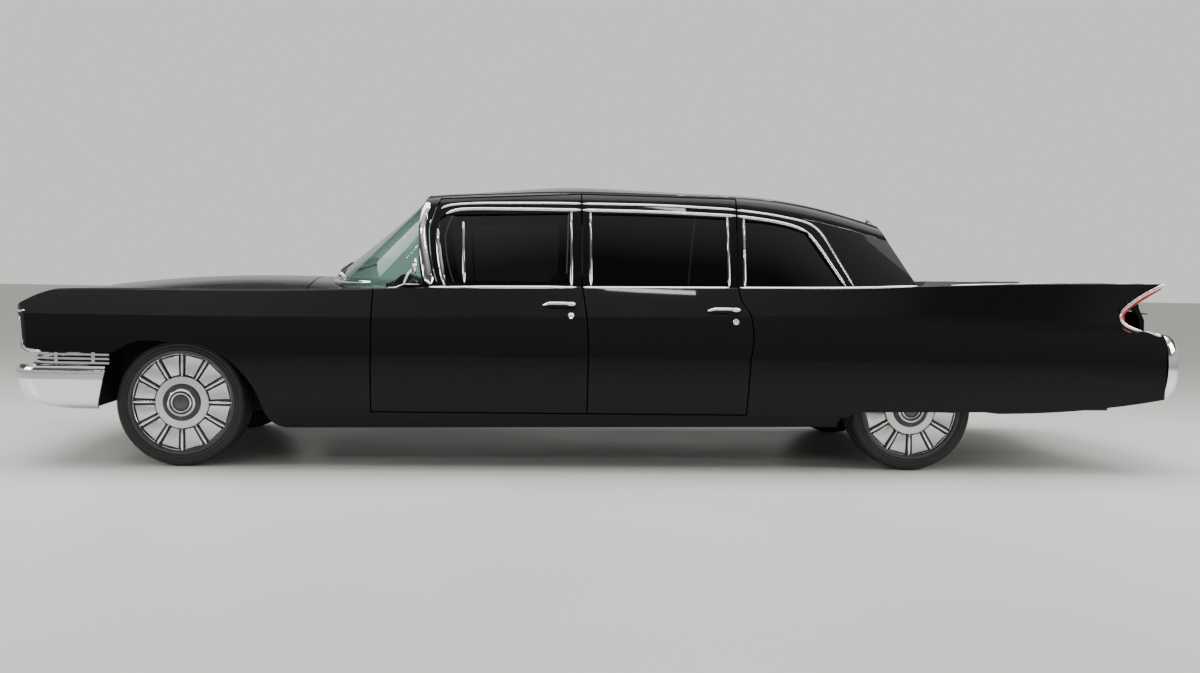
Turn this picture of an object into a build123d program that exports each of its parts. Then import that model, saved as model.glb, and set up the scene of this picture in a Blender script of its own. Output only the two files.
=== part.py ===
"""Four-door formal limousine with tail fins and fender skirts, in millimetres.

The nose points to -X, the driver's side is -Y, the ground is at Z 0, and the origin is on the ground under the
middle of the overall length. Lengthwise places in the tables are measured back from the front axle and turned
into X by back().
"""
import os

from build123d import *

os.makedirs("parts", exist_ok=True)

# Overall sizes
LENGTH = 6218
WHEELBASE = 3804
FRONT_OVERHANG = 900
ROOF_Z = 1507

# Panels and gaps
SIDE_WALL = 60
TOP_WALL = 26
CABIN_WALL = 36
GLASS = 6
GLASS_INSET = 13
SHUT_GAP = 7
REBATE = 18
SKIN = 5
SILL_Y = 938
SILL_Z = 205
WAIST_Z = 590
DOOR_FOOT_Z = 304

# Wheels
TRACK = 1549
TYRE_R = 328
TYRE_WIDTH = 225
RIM_R = 270
KINGPIN_Y = 660

FRONT_AXLE_X = -LENGTH / 2 + FRONT_OVERHANG
REAR_AXLE_X = FRONT_AXLE_X + WHEELBASE
SIDES = (("left", -1), ("right", 1))


def back(distance):
    """X of a place measured back from the front axle."""
    return FRONT_AXLE_X + distance


def save(shape, name):
    """Write one node, as a compound of its solids."""
    solids = shape.solids() if hasattr(shape, "solids") else [s for item in shape for s in item.solids()]
    solids = [s for s in solids if s.volume > 500]
    out = solids[0] if len(solids) == 1 else Compound(children=list(solids))
    out.label = name
    export_step(out, f"parts/{name}.step")
    print(name, len(solids), round(sum(s.volume for s in solids) / 1e6, 3))


def other_side(shape):
    """The mirror image across the car's centre plane."""
    return mirror(shape, Plane.XZ)


def save_pair(shape, name):
    """Write a left-hand piece and its right-hand mirror image."""
    save(shape, f"{name}_left")
    save(other_side(shape), f"{name}_right")


def joined(shape):
    """A left half fused with its mirror image."""
    return shape + other_side(shape)


def biggest(shape):
    """The largest solid of a cut that leaves crumbs."""
    return max(shape.solids(), key=lambda solid: solid.volume)


def box(x0, x1, y0, y1, z0, z1):
    """A block between six planes."""
    size = (abs(x1 - x0), abs(y1 - y0), abs(z1 - z0))
    return Pos((x0 + x1) / 2, (y0 + y1) / 2, (z0 + z1) / 2) * Box(*size)


def outline(start, spans):
    """A closed flat outline: each span is an end point, or a point passed through and an end point."""
    edges, here = [], start
    for *via, end in spans:
        edges.append(ThreePointArc(here, via[0], end) if via else Line(here, end))
        here = end
    if here != start:
        edges.append(Line(here, start))
    return make_face(Curve() + edges)


def side_prism(start, spans, y0, y1):
    """A side-view outline, lengths measured back from the front axle, stretched from y0 to y1."""
    moved = [tuple((back(x), z) for x, z in span) for span in spans]
    face = Plane.XZ * outline((back(start[0]), start[1]), moved)
    low, high = min(y0, y1), max(y0, y1)
    return Pos(0, low, 0) * Solid.extrude(face.face(), Vector(0, high - low, 0))


def plan_prism(start, spans, z0, z1):
    """A plan outline of one half, closed along the centre line or beyond it, and its mirror image."""
    moved = [tuple((back(x), y) for x, y in span) for span in spans]
    half = Solid.extrude(outline((back(start[0]), start[1]), moved).face(), Vector(0, 0, z1 - z0))
    half = Pos(0, 0, z0) * half
    return half, mirror(half, Plane.XZ)


def tube(points, radius):
    """A round bar through the points, with a ball at each bend."""
    bar = None
    for start, end in zip(points, points[1:]):
        a, b = Vector(*start), Vector(*end)
        run = Plane(origin=a, z_dir=b - a) * Pos(0, 0, (b - a).length / 2) * Cylinder(radius, (b - a).length)
        bar = run if bar is None else bar + run
    for point in points[1:-1]:
        bar += Pos(*point) * Sphere(radius)
    return bar


# Body below the glass: one section per row. x is measured back from the front axle, the other columns are half
# widths and heights of the crease, the shoulder (fender top or fin), the foot of its inner side, and the top of
# the middle.
BODY_SECTIONS = (
    # x, waist_y, crease_y, crease_z, shoulder_y, shoulder_z, crest, inner_y, valley_y, valley_z, centre_z
    (-960, 985, 975, 777, 905, 868, 6, 850, 700, 856, 870),
    (-560, 996, 986, 777, 905, 896, 8, 850, 715, 884, 918),
    (0, 1008, 996, 776, 908, 902, 9, 852, 735, 892, 972),
    (640, 1014, 1001, 780, 918, 910, 9, 860, 760, 902, 980),
    (1307, 1018, 1006, 790, 930, 936, 8, 876, 790, 938, 966),
    (2125, 1018, 1005, 802, 930, 948, 8, 876, 790, 946, 960),
    (3000, 1018, 1003, 818, 930, 958, 8, 880, 790, 954, 966),
    (3700, 1016, 996, 830, 932, 978, 7, 896, 800, 950, 984),
    (4350, 1006, 982, 820, 936, 1003, 5, 912, 798, 922, 962),
    (4900, 984, 962, 792, 934, 1014, 4, 916, 788, 878, 915),
    (5300, 958, 940, 762, 928, 1020, 4, 914, 776, 838, 872),
)

# Roof and glass sides: half widths and heights of the belt, drip moulding and roof edge, and the roof's middle.
CABIN_SECTIONS = (
    # x, belt_y, drip_y, drip_z, edge_y, edge_z, centre_z
    (1120, 905, 748, 1318, 650, 1388, 1420),
    (1350, 905, 748, 1366, 650, 1426, 1461),
    (1750, 905, 748, 1384, 650, 1450, 1498),
    (2350, 905, 748, 1387, 650, 1458, ROOF_Z),
    (2900, 905, 746, 1374, 648, 1448, 1490),
    (3250, 903, 738, 1330, 636, 1412, 1458),
    (3560, 898, 722, 1262, 620, 1340, 1384),
    (3760, 892, 712, 1205, 604, 1280, 1322),
    (3960, 884, 690, 1110, 580, 1185, 1225),
)
CABIN_FOOT_Z = 880


def body_section(row, wall=0, roof_wall=0):
    """A closed body section of arcs, each tangent to the next at the waist, drawn inset by the wall."""
    x, waist_y, crease_y, crease_z, shoulder_y, shoulder_z, crest, inner_y, valley_y, valley_z, centre_z = row
    waist = Vector(back(x), waist_y - wall, WAIST_Z)
    sill = Vector(back(x), SILL_Y - wall, SILL_Z - wall)
    crease = Vector(back(x), crease_y - wall, crease_z)
    shoulder = Vector(back(x), shoulder_y - wall, shoulder_z - roof_wall)
    inner = Vector(back(x), inner_y - wall, shoulder_z - roof_wall - 2)
    top = (shoulder + inner) * 0.5 + Vector(0, 0, crest)
    valley = Vector(back(x), valley_y - wall, valley_z - roof_wall)
    centre = Vector(back(x), 0, centre_z - roof_wall)

    def half(side):
        flip = lambda p: Vector(p.X, p.Y * side, p.Z)
        upright = Vector(0, 0, 1)
        return [
            Edge.make_tangent_arc(flip(waist), -upright, flip(sill)),
            Edge.make_tangent_arc(flip(waist), upright, flip(crease)),
            Edge.make_line(flip(crease), flip(shoulder)),
            Edge.make_three_point_arc(flip(shoulder), flip(top), flip(inner)),
            Edge.make_line(flip(inner), flip(valley)),
        ]

    mirrored = Vector(valley.X, -valley.Y, valley.Z)
    across = [Edge.make_three_point_arc(valley, centre, mirrored)]
    floor = [Edge.make_line(sill, Vector(sill.X, -sill.Y, sill.Z))]
    return Wire(half(1) + across + half(-1) + floor)


def cabin_section(row, wall=0):
    """A closed cabin section: foot, drip, roof edge and a roof arc."""
    x, belt_y, drip_y, drip_z, edge_y, edge_z, centre_z = row
    lean = (belt_y - drip_y) / (drip_z - 945)
    foot = Vector(back(x), belt_y + lean * (945 - CABIN_FOOT_Z) - wall, CABIN_FOOT_Z)
    drip = Vector(back(x), drip_y - wall, drip_z)
    edge = Vector(back(x), edge_y - wall * 0.8, edge_z - wall * 0.6)
    centre = Vector(back(x), 0, centre_z - wall)

    def half(side):
        flip = lambda p: Vector(p.X, p.Y * side, p.Z)
        bulge = (foot + drip) * 0.5 + Vector(0, 8, 0)
        cheek = (drip + edge) * 0.5 + Vector(0, 14, 14)
        return [
            Edge.make_three_point_arc(flip(foot), flip(bulge), flip(drip)),
            Edge.make_three_point_arc(flip(drip), flip(cheek), flip(edge)),
        ]

    across = [Edge.make_three_point_arc(edge, centre, Vector(edge.X, -edge.Y, edge.Z))]
    floor = [Edge.make_line(foot, Vector(foot.X, -foot.Y, foot.Z))]
    return Wire(half(1) + across + half(-1) + floor)


# Side outlines: (back from front axle, height). A span of two points is an arc through the first.
FENDER_BACK = 966
B_LINE = 2067
C_BELT = 2852
TAIL = 5160
FRONT_ARCH = (
    ((-298, 588),),
    ((-225, 632), (-60, 644)),
    ((95, 642),),
    ((275, 548), (430, 300)),
    ((478, 236), (560, 212)),
)
BODY_START = (-808, 796)
BODY_OUTLINE = (
    ((-797, 776),),
    ((-772, 764),),
    ((-758, 640),),
    ((-742, 602), (-700, 588)),
    ((-640, 585),),
    *FRONT_ARCH,
    ((3384, 240),),
    ((3458, 309),),
    ((3495, 322),),
    ((4165, 327),),
    ((4241, 319),),
    ((4750, 345), (5158, 401)),
    ((TAIL + 8, 1300),),
    ((-500, 1300),),
    ((-500, 908),),
    ((-690, 873), BODY_START),
)

body_outer = Solid.make_loft([body_section(row) for row in BODY_SECTIONS])
body_inner = Solid.make_loft([body_section(row, SIDE_WALL, TOP_WALL) for row in BODY_SECTIONS])
silhouette = side_prism(BODY_START, BODY_OUTLINE, -1200, 0)
# V notch in the end of the fin, open to the rear
NOTCH_START = (TAIL + 60, 690)
NOTCH_SPANS = (
    ((TAIL, 690),),
    ((5140, 738), (5090, 756)),
    ((5000, 768),),
    ((4893, 820), (4925, 890)),
    ((5050, 972),),
    ((TAIL + 8, 1027),),
    ((TAIL + 60, 1027),),
)
NOTCH_Y = 790
silhouette -= side_prism(NOTCH_START, NOTCH_SPANS, -NOTCH_Y, -1200)
nose_half, nose_other = plan_prism(
    (-808, 0), (((-808, 840),), ((-782, 935), (-660, 1010)), ((6000, 1100),), ((6000, 0),)), 100, 1300
)
body_outer = body_outer & (nose_half + nose_other)
# The brow is a thick lip across the nose, under the same curve as the silhouette
NOSE_LIP = (((-690, 873), (-500, 908)), ((-500, 880),), ((-672, 846), (-768, BODY_START[1])))
nose_lip = side_prism(BODY_START, NOSE_LIP, -1200, 0)
shell = (body_outer & silhouette) - (body_inner - nose_lip)

cabin_outer = Solid.make_loft([cabin_section(row) for row in CABIN_SECTIONS])
cabin_inner = Solid.make_loft([cabin_section(row, CABIN_WALL) for row in CABIN_SECTIONS])
LEFT = box(-4000, 4000, -1200, 0, 0, 1700)
cabin_shell = (cabin_outer & LEFT) - cabin_inner
behind_skin = Solid.make_loft([body_section(row, SKIN, SKIN) for row in BODY_SECTIONS])
cabin_behind_skin = Solid.make_loft([cabin_section(row, SKIN) for row in CABIN_SECTIONS])
glass_shell = Solid.make_loft([cabin_section(row, GLASS_INSET) for row in CABIN_SECTIONS])
glass_shell -= Solid.make_loft([cabin_section(row, GLASS_INSET + GLASS) for row in CABIN_SECTIONS])

# Plan of the bonnet and boot lid, and the lid edges.
HOOD = dict(front=-900, back=590, front_y=700, back_y=772)
BOOT = dict(front=4010, back=5040, front_y=752, back_y=742)


def lid_region(lid, grow, z0):
    """The column that holds the left half of a lid, grown by a gap."""
    front, rear = lid["front"] - grow, lid["back"] + grow
    edge = (((front, lid["front_y"] + grow),), ((rear, lid["back_y"] + grow),), ((rear, 0),))
    return plan_prism((front, 0), edge, z0, 1300)[1]


HOOD_Z = BODY_START[1] + 6
BOOT_Z = 830
hood = joined(shell & lid_region(HOOD, 0, HOOD_Z))
boot_lid = joined(shell & lid_region(BOOT, 0, BOOT_Z))
fixed_shell = shell - lid_region(HOOD, SHUT_GAP, 700) - lid_region(BOOT, SHUT_GAP, BOOT_Z - 60)

save(hood, "hood")
save(boot_lid, "boot_lid")

# Shut lines of the doors seen from the side, from the foot up: a point, or a point passed through and a point
DOOR_TOP_Z = 1442
DOOR_FOOT = DOOR_FOOT_Z - SHUT_GAP / 2
PILLAR_LINE = (
    (FENDER_BACK, DOOR_FOOT), ((FENDER_BACK, 950),), ((1292, 950),), ((1248, 1130), (1240, 1250)), ((1270, 1345),),
    ((1300, 1402),),
)
B_SHUT = ((B_LINE, DOOR_FOOT), ((B_LINE, 560),), ((B_LINE - 9, 790), (2036, 950)), ((2036, DOOR_TOP_Z),))
C_SHUT = (
    (2898, DOOR_FOOT), ((2907, 600),), ((2920, 730), (2900, 835)), ((2862, 892),), ((C_BELT, 950),),
    ((2864, DOOR_TOP_Z - 8),),
)
DOORS = (("door_front", PILLAR_LINE, B_SHUT), ("door_rear", B_SHUT, C_SHUT))


def shifted(point, dx):
    return (point[0] + dx, point[1])


def turned_back(line, dx):
    """A shut line walked from the top down."""
    points = [line[0]] + [span[-1] for span in line[1:]]
    spans = []
    for index in range(len(line) - 1, 0, -1):
        via = [shifted(p, dx) for p in line[index][:-1]]
        spans.append((*via, shifted(points[index - 1], dx)))
    return spans


def door_outline(front_line, rear_line, grow):
    """Outline of one door between two shut lines, grown from their middle, as a start and spans."""
    start = (rear_line[0][0] + grow, rear_line[0][1] - grow)
    up = [tuple(shifted(p, grow) for p in span) for span in rear_line[1:]]
    up[-1] = ((up[-1][-1][0], up[-1][-1][1] + grow),)
    top = front_line[-1][-1]
    down = turned_back(front_line, -grow)
    down[-1] = ((down[-1][-1][0], start[1]),)
    return start, (*up, ((top[0] - grow, top[1] + grow),), *down, (start,))


# Side windows seen from the side
WINDOWS = {
    "door_front": ((1345, 962), (((1300, 1100), (1284, 1240)), ((1300, 1300), (1375, 1318)), ((1976, 1338),),
                                 ((1976, 962),))),
    "door_rear": ((2088, 964), (((2088, 1338),), ((2470, 1336), (2806, 1326)), ((2800, 970),))),
    "quarter": ((2896, 974), (((2906, 1316),), ((3080, 1302), (3236, 1262)), ((3420, 976),))),
}
DOOR_IN_Y = 560
DOOR_TOP_IN_Y = 884
holes, side_glass, cabin_cuts, body_cuts = {}, {}, [], []
for key, (start, spans) in WINDOWS.items():
    holes[key] = side_prism(start, spans, -DOOR_IN_Y, -1200)
    side_glass[key] = glass_shell & holes[key]
for name, front_line, rear_line in DOORS:
    start, spans = door_outline(front_line, rear_line, -SHUT_GAP / 2)
    region = side_prism(start, spans, -DOOR_IN_Y, -1200)
    lower = shell & region & box(-4000, 4000, -DOOR_TOP_IN_Y, -1200, 0, 1200)
    rebate = region - Pos(-REBATE, 0, 0) * region
    lower -= rebate & behind_skin
    upper = (cabin_shell & region) - (rebate & cabin_behind_skin)
    upper -= box(-4000, 4000, -500, -DOOR_TOP_IN_Y, 0, 955)
    save_pair(lower + upper - holes[name], name)
    save_pair(side_glass[name], name.replace("door_", "door_glass_"))
    start, spans = door_outline(front_line, rear_line, SHUT_GAP / 2)
    cabin_cuts.append(side_prism(start, spans, -DOOR_IN_Y, -1200))
    body_cuts.append(side_prism(start, spans, SHUT_GAP - DOOR_TOP_IN_Y, -1200))
cabin_cuts.append(holes["quarter"])

# Glass front and back: (height, centre x, knee x, knee y, end x, end y), bent round at the knees
WINDSCREEN = (
    (938, 614, 780, 640, 1232, 858),
    (1190, 924, 1010, 590, 1196, 786),
    (1434, 1219, 1232, 440, 1246, 625),
)
REAR_GLASS = (
    (972, 3968, 3925, 500, 3800, 800),
    (1180, 3826, 3790, 450, 3690, 700),
    (1345, 3712, 3690, 380, 3610, 598),
)


def bent_plug(levels, inset, depth):
    """A block whose face is a sheet bent round at both sides, lofted up through the levels."""
    wires = []
    for z, centre_x, knee_x, knee_y, end_x, end_y in levels:
        toward = 1 if end_x > centre_x else -1
        centre = Vector(back(centre_x) + toward * inset, 0, z)
        knee = Vector(back(knee_x) + toward * inset * 0.8, knee_y - inset * 0.6, z)
        end = Vector(back(end_x), end_y - inset, z)
        deep = end + Vector(toward * depth, 0, 0)
        other = [Vector(p.X, -p.Y, p.Z) for p in (knee, end, deep)]
        front = Edge.make_three_point_arc(knee, centre, other[0])
        tangent = front.tangent_at(0) * -1
        flipped = Vector(tangent.X, -tangent.Y, 0)
        wires.append(Wire([
            Edge.make_tangent_arc(knee, tangent, end), Edge.make_line(end, deep), front,
            Edge.make_tangent_arc(other[0], flipped, other[1]), Edge.make_line(other[1], other[2]),
            Edge.make_line(deep, other[2]),
        ]))
    return Solid.make_loft(wires)


windshield = bent_plug(WINDSCREEN, 0, 1) - bent_plug(WINDSCREEN, GLASS, 60) - body_outer
rear_window = bent_plug(REAR_GLASS, 0, 1) - bent_plug(REAR_GLASS, GLASS, 60) - body_outer

# Roof with the windscreen pillars and the rear quarters
ROOF_SPANS = (
    ((1190, 1120), (1192, 1240)),
    ((1226, 1400),),
    ((1240, 1600),),
    ((3725, 1600),),
    ((3640, 1345),),
    ((3835, 960),),
    ((3835, 900),),
)
roof = cabin_shell & side_prism((1232, 900), ROOF_SPANS, -1200, 0)
for cut in cabin_cuts:
    roof -= cut
roof = joined(roof - body_outer)
save(roof, "roof")
save(biggest(windshield - roof), "windshield")
save([biggest(rear_window - roof), side_glass["quarter"], other_side(side_glass["quarter"])], "rear_glass")

# Fixed body panels
SILL_BACK = 3384
SKIRT_START = (SILL_BACK, 290)
SKIRT_SPANS = (((SILL_BACK, 472),), ((4205, 478),), ((4248, 468), (4258, 430)), ((4258, 290),))
fixed = fixed_shell
for cut in body_cuts:
    fixed -= cut
SPLIT_Y = 776
wing = fixed & box(back(-1000), back(FENDER_BACK), -SPLIT_Y, -1200, 0, 1300)
nose = fixed & box(back(-1000), back(500), -640, -SPLIT_Y - 1, 0, 1300)
save_pair(wing + nose, "front_fender")
quarter = fixed & box(back(C_BELT - 60), back(5400), -740, -1200, DOOR_FOOT_Z - SHUT_GAP, 1300)
save_pair(quarter - side_prism(SKIRT_START, SKIRT_SPANS, -700, -1200), "quarter_panel")
COWL_BACK = 1010
cowl = fixed & box(back(HOOD["back"]), back(COWL_BACK), -SPLIT_Y, 0, 0, 1300)
cowl += fixed & box(back(FENDER_BACK), back(1236), -700, 2 * SHUT_GAP - DOOR_TOP_IN_Y, 800, 1300)
save(joined(cowl), "cowl")
rear_deck = joined(fixed & box(back(3640), back(4004), -740, 0, 0, 1300))
REAR_PANEL = (((5078, 1000),), ((5090, 885),), ((5122, 820),), ((5136, 520),), ((5112, 410),), ((5086, 410),),
              ((5108, 520),), ((5096, 815),), ((5068, 868),), ((5047, 872),))
rear_panel = side_prism((5047, 1000), REAR_PANEL, -900, 900)
rear_panel = (rear_panel & body_inner) + (rear_panel & body_outer & box(-4000, 4000, -740, 740, 0, 1300))
for side_name, side in SIDES:
    rear_panel -= box(back(5040), back(5160), side * (NOTCH_Y - 4), side * 1000, 690, 1100)
# Bracket for the number plate, with the standard four holes
PLATE = dict(width=310, height=156, z=672, x=5150, hole_across=178, hole_up=121, hole_r=3.5)
rear_panel += box(back(5100), back(PLATE["x"]), -40, 40, PLATE["z"] - 30, PLATE["z"] + 30)
half_w, half_h = PLATE["width"] / 2, PLATE["height"] / 2
rear_panel += box(back(PLATE["x"]), back(PLATE["x"] + 4), -half_w, half_w, PLATE["z"] - half_h, PLATE["z"] + half_h)
for a, b in ((1, 1), (-1, 1), (-1, -1), (1, -1)):
    hole_y, hole_z = a * PLATE["hole_across"] / 2, PLATE["z"] + b * PLATE["hole_up"] / 2
    rear_panel -= Pos(back(PLATE["x"] + 2), hole_y, hole_z) * Rot(0, 90, 0) * Cylinder(PLATE["hole_r"], 8)
save([rear_deck, rear_panel], "rear_panel")

# Sills and fender skirts
sill = fixed & box(back(FENDER_BACK), back(SILL_BACK), -700, -1200, 0, DOOR_FOOT_Z - SHUT_GAP)
save([sill, other_side(sill)], "sills")
skirt = fixed & side_prism(SKIRT_START, SKIRT_SPANS, -700, -1200)
save([skirt, other_side(skirt)], "fender_skirts")

# Bumpers: plan outlines bent round at the ends, lofted up through the levels
FRONT_BUMPER = (
    # z, centre_x, knee_x, knee_y, corner_x, corner_y, end_y
    (299, -700, -650, 760, -540, 925, 950),
    (318, -800, -738, 800, -610, 945, 966),
    (350, -850, -782, 828, -655, 960, 980),
    (415, -884, -812, 842, -680, 970, 990),
    (495, -895, -822, 850, -690, 975, 994),
    (519, -884, -806, 845, -680, 962, 980),
)
FRONT_BUMPER_END = -345
REAR_BUMPER = (
    (392, 5240, 5200, 740, 5174, 850, 868),
    (430, 5290, 5240, 780, 5186, 880, 890),
    (520, 5318, 5264, 800, 5200, 892, 900),
    (575, 5296, 5244, 790, 5188, 884, 892),
)
REAR_BUMPER_END = 5170


def wrap_wire(level, end_x, inset):
    """One plan outline: a bowed face, corners tangent to it and straight ends."""
    z, centre_x, knee_x, knee_y, corner_x, corner_y, end_y = level
    toward = 1 if end_x > centre_x else -1
    centre = Vector(back(centre_x) + toward * inset, 0, z)
    knee = Vector(back(knee_x) + toward * inset * 0.8, knee_y - inset * 0.6, z)
    corner = Vector(back(corner_x), corner_y - inset, z)
    end = Vector(back(end_x) + toward * inset, end_y - inset, z)
    flip = lambda p: Vector(p.X, -p.Y, p.Z)
    face = Edge.make_three_point_arc(knee, centre, flip(knee))
    tangent = face.tangent_at(0) * -1
    return Wire([
        face, Edge.make_tangent_arc(knee, tangent, corner), Edge.make_line(corner, end),
        Edge.make_line(end, flip(end)), Edge.make_line(flip(end), flip(corner)),
        Edge.make_tangent_arc(flip(knee), flip(tangent), flip(corner)),
    ])


def wrap_shell(levels, end_x, wall, bracket):
    """A bumper skin, open at the back, with a pair of brackets that reach back to the frame."""
    outer = Solid.make_loft([wrap_wire(level, end_x, 0) for level in levels])
    skin = outer - Solid.make_loft([wrap_wire(level, end_x, wall) for level in levels])
    return skin + (outer & bracket) + (outer & other_side(bracket))


BUMPER_WALL = 14
FRAME_FRONT, FRAME_BACK = -700, 5060
FRONT_BRACKET = box(back(-900), back(FRAME_FRONT), -430, -370, 400, 460)
REAR_BRACKET = box(back(REAR_BUMPER_END), back(5300), -530, -470, 392, 406)
front_bumper = wrap_shell(FRONT_BUMPER, FRONT_BUMPER_END, BUMPER_WALL, FRONT_BRACKET)
rear_bumper = wrap_shell(REAR_BUMPER, REAR_BUMPER_END, BUMPER_WALL, REAR_BRACKET)
# Rib along the blade of the front bumper, a shelf that closes its top, and raked ends
RIB_LEVEL, RIB_Z, RIB_HEIGHT, RIB_DEPTH = (0, -892, -820, 848, -688, 974, 993), 450, 26, 6
SHELF_BACK, SHELF_DEPTH = -445, 62
rib = Face(wrap_wire(RIB_LEVEL, FRONT_BUMPER_END, -RIB_DEPTH))
rib -= Face(wrap_wire(RIB_LEVEL, FRONT_BUMPER_END, BUMPER_WALL / 2))
front_bumper += Pos(0, 0, RIB_Z) * Solid.extrude(rib.face(), Vector(0, 0, RIB_HEIGHT))
top_level = (0, *FRONT_BUMPER[-1][1:])
shelf = Face(wrap_wire(top_level, FRONT_BUMPER_END, 0))
shelf -= Face(wrap_wire(top_level, FRONT_BUMPER_END, SHELF_DEPTH))
shelf = Pos(0, 0, FRONT_BUMPER[-1][0] - BUMPER_WALL) * Solid.extrude(shelf.face(), Vector(0, 0, BUMPER_WALL))
front_bumper += shelf & box(back(-1000), back(SHELF_BACK), -1000, 1000, 400, 600)
front_bumper -= side_prism((-346, 482), (((-300, 482),), ((-300, 280),), ((-396, 280),)), -1200, 1200)
rear_bumper += joined(box(back(FRAME_BACK), back(REAR_BUMPER_END), -530, -470, 392, 406))
save(front_bumper, "front_bumper")

# Oval end pods of the rear bumper
POD_Y, POD_Z = 886, 575
PODS = ((5168, 88, 172), (5215, 80, 160), (5242, 56, 128))
wires = []
for x, half_y, half_z in PODS:
    plane = Plane(origin=(back(x), -POD_Y, POD_Z), x_dir=(0, 1, 0), z_dir=(1, 0, 0))
    wires.append((plane * Ellipse(half_y, half_z)).face().outer_wire())
pod = Solid.make_loft(wires)
for one_pod in (pod, other_side(pod)):
    rear_bumper = rear_bumper - one_pod + one_pod
save(rear_bumper, "rear_bumper")

# Grille: a frame with crossed bars between the lamps, and bars wrapped round under the lamps
GRILLE = dict(half_y=452, low=512, high=796, x0=-792, x1=-760)
half_y, low, high = GRILLE["half_y"], GRILLE["low"], GRILLE["high"]
x0, x1 = back(GRILLE["x0"]), back(GRILLE["x1"])
grille = box(x0, x1, -half_y, half_y, low, high)
grille -= box(back(-900), back(0), 16 - half_y, half_y - 16, low + 12, high - 12)
for i in range(1, 10):
    z = low + i * (high - low) / 10
    grille += box(x0 + 6, x1 - 8, 8 - half_y, half_y - 8, z - 4, z + 4)
for i in range(1, 24):
    y = -half_y + i * 2 * half_y / 24
    grille += box(x0 + 10, x1 - 4, y - 3, y + 3, low + 6, high - 6)
SIDE_BARS = (531, 552, 573)
WRAP_LEVEL, WRAP_END = (0, -788, -752, 790, -628, 946, 968), -322
band = Face(wrap_wire(WRAP_LEVEL, WRAP_END, 0)) - Face(wrap_wire(WRAP_LEVEL, WRAP_END, 12))
for z in SIDE_BARS:
    ring = Pos(0, 0, z - 5) * Solid.extrude(band.face(), Vector(0, 0, 10))
    grille += joined(ring & box(back(-900), back(-330), 8 - GRILLE["half_y"], -1100, 0, 1300))
FENDER_FOOT_Z = 585
for x in (-600, -420):
    grille += joined(box(back(x), back(x + 16), -900, -956, SIDE_BARS[0] - 5, FENDER_FOOT_Z))

# Lamps: a bezel from the grille to the fender, with a bore for each lamp and a plate behind
LAMP_Y, LAMP_Z, LAMP_R = (552, 812), 684, 73
BEZEL_X, BEZEL_DEPTH, LAMP_SEAT = -776, 70, 8
bezel = box(back(BEZEL_X), back(BEZEL_X + BEZEL_DEPTH), 4 - GRILLE["half_y"], -960, 598, BODY_START[1]) & body_inner
lenses = []
for y in LAMP_Y:
    axis = Pos(back(BEZEL_X), -y, LAMP_Z) * Rot(0, 90, 0)
    bore = BEZEL_DEPTH - LAMP_SEAT
    bezel -= axis * Pos(0, 0, bore / 2) * Cylinder(LAMP_R + 1, bore)
    lens = axis * Pos(0, 0, bore / 2 + 4) * Cylinder(LAMP_R, bore - 8)
    lens &= axis * Pos(0, 0, 140) * Sphere(136)
    lenses += [lens, other_side(lens)]
save(grille + joined(bezel), "front_grille")
save(lenses, "headlamps")

# Fin lamps: a strip of red lens that lines the notch in the fin's tail
LENS = (((4893, 820), (4925, 890)), ((5050, 972),), ((5130, 1008),), ((5130, 990),), ((4948, 882),),
        ((4921, 848),), ((4926, 816),), ((4966, 788),))
lamp = body_outer & side_prism((5000, 768), LENS, -NOTCH_Y, -1100)
save([lamp, other_side(lamp)], "tail_lamps")


def rail(stations, width, height):
    """A box rail through (back, y, z) stations."""
    wires = []
    for x, y, z in stations:
        corners = [(back(x), y + a * width / 2, z + b * height / 2) for a, b in ((1, 1), (-1, 1), (-1, -1), (1, -1))]
        wires.append(Wire.make_polygon([Vector(*c) for c in corners]))
    return Solid.make_loft(wires, ruled=True)


FRAME = (
    # back, half y, z
    (FRAME_FRONT, 400, 430), (-420, 395, 400), (-150, 395, 300), (420, 395, 300), (1150, 130, 300), (2650, 130, 300),
    (3250, 450, 300), (3500, 500, 440), (3804, 500, 522), (4180, 500, 510), (4420, 500, 350), (FRAME_BACK, 500, 350),
)
RAIL_WIDTH, RAIL_HEIGHT, RAIL_ROOM = 74, 110, 8

# Floor, tunnel, rear floor over the axle and boot floor
FLOOR_Z, SHEET = 264, 12
TUNNEL_Y, TUNNEL_Z = 205, 430
STEP_X, AXLE_FLOOR_Z, BOOT_X, BOOT_FLOOR_Z = 3440, 600, 4270, 430
FIREWALL_X = 700
floor = box(back(FIREWALL_X), back(STEP_X), -900, 900, FLOOR_Z, FLOOR_Z + SHEET)
floor += box(back(FIREWALL_X), back(FIREWALL_X + SHEET), -900, 900, FLOOR_Z, 905)
floor += box(back(FIREWALL_X), back(STEP_X), -TUNNEL_Y, TUNNEL_Y, FLOOR_Z, TUNNEL_Z)
floor += box(back(STEP_X - SHEET), back(STEP_X), -900, 900, FLOOR_Z, AXLE_FLOOR_Z)
floor += box(back(STEP_X - SHEET), back(BOOT_X), -900, 900, AXLE_FLOOR_Z - SHEET, AXLE_FLOOR_Z)
floor += box(back(BOOT_X - SHEET), back(BOOT_X), -900, 900, BOOT_FLOOR_Z, AXLE_FLOOR_Z)
floor += box(back(BOOT_X - SHEET), back(5084), -900, 900, BOOT_FLOOR_Z, BOOT_FLOOR_Z + SHEET)
SEAT_BASES = (
    # back x0, x1, half y, top z
    (1540, 1960, 600, TUNNEL_Z),
    (3000, STEP_X, 560, 486),
)
for x0, x1, y, z in SEAT_BASES:
    floor += box(back(x0), back(x1), -y, y, FLOOR_Z, z) - box(back(x0 + SHEET), back(x1 - SHEET), SHEET - y, y - SHEET, 0, z - SHEET)
rails = [[(x, side * y, z) for x, y, z in FRAME] for _, side in SIDES]
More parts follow.
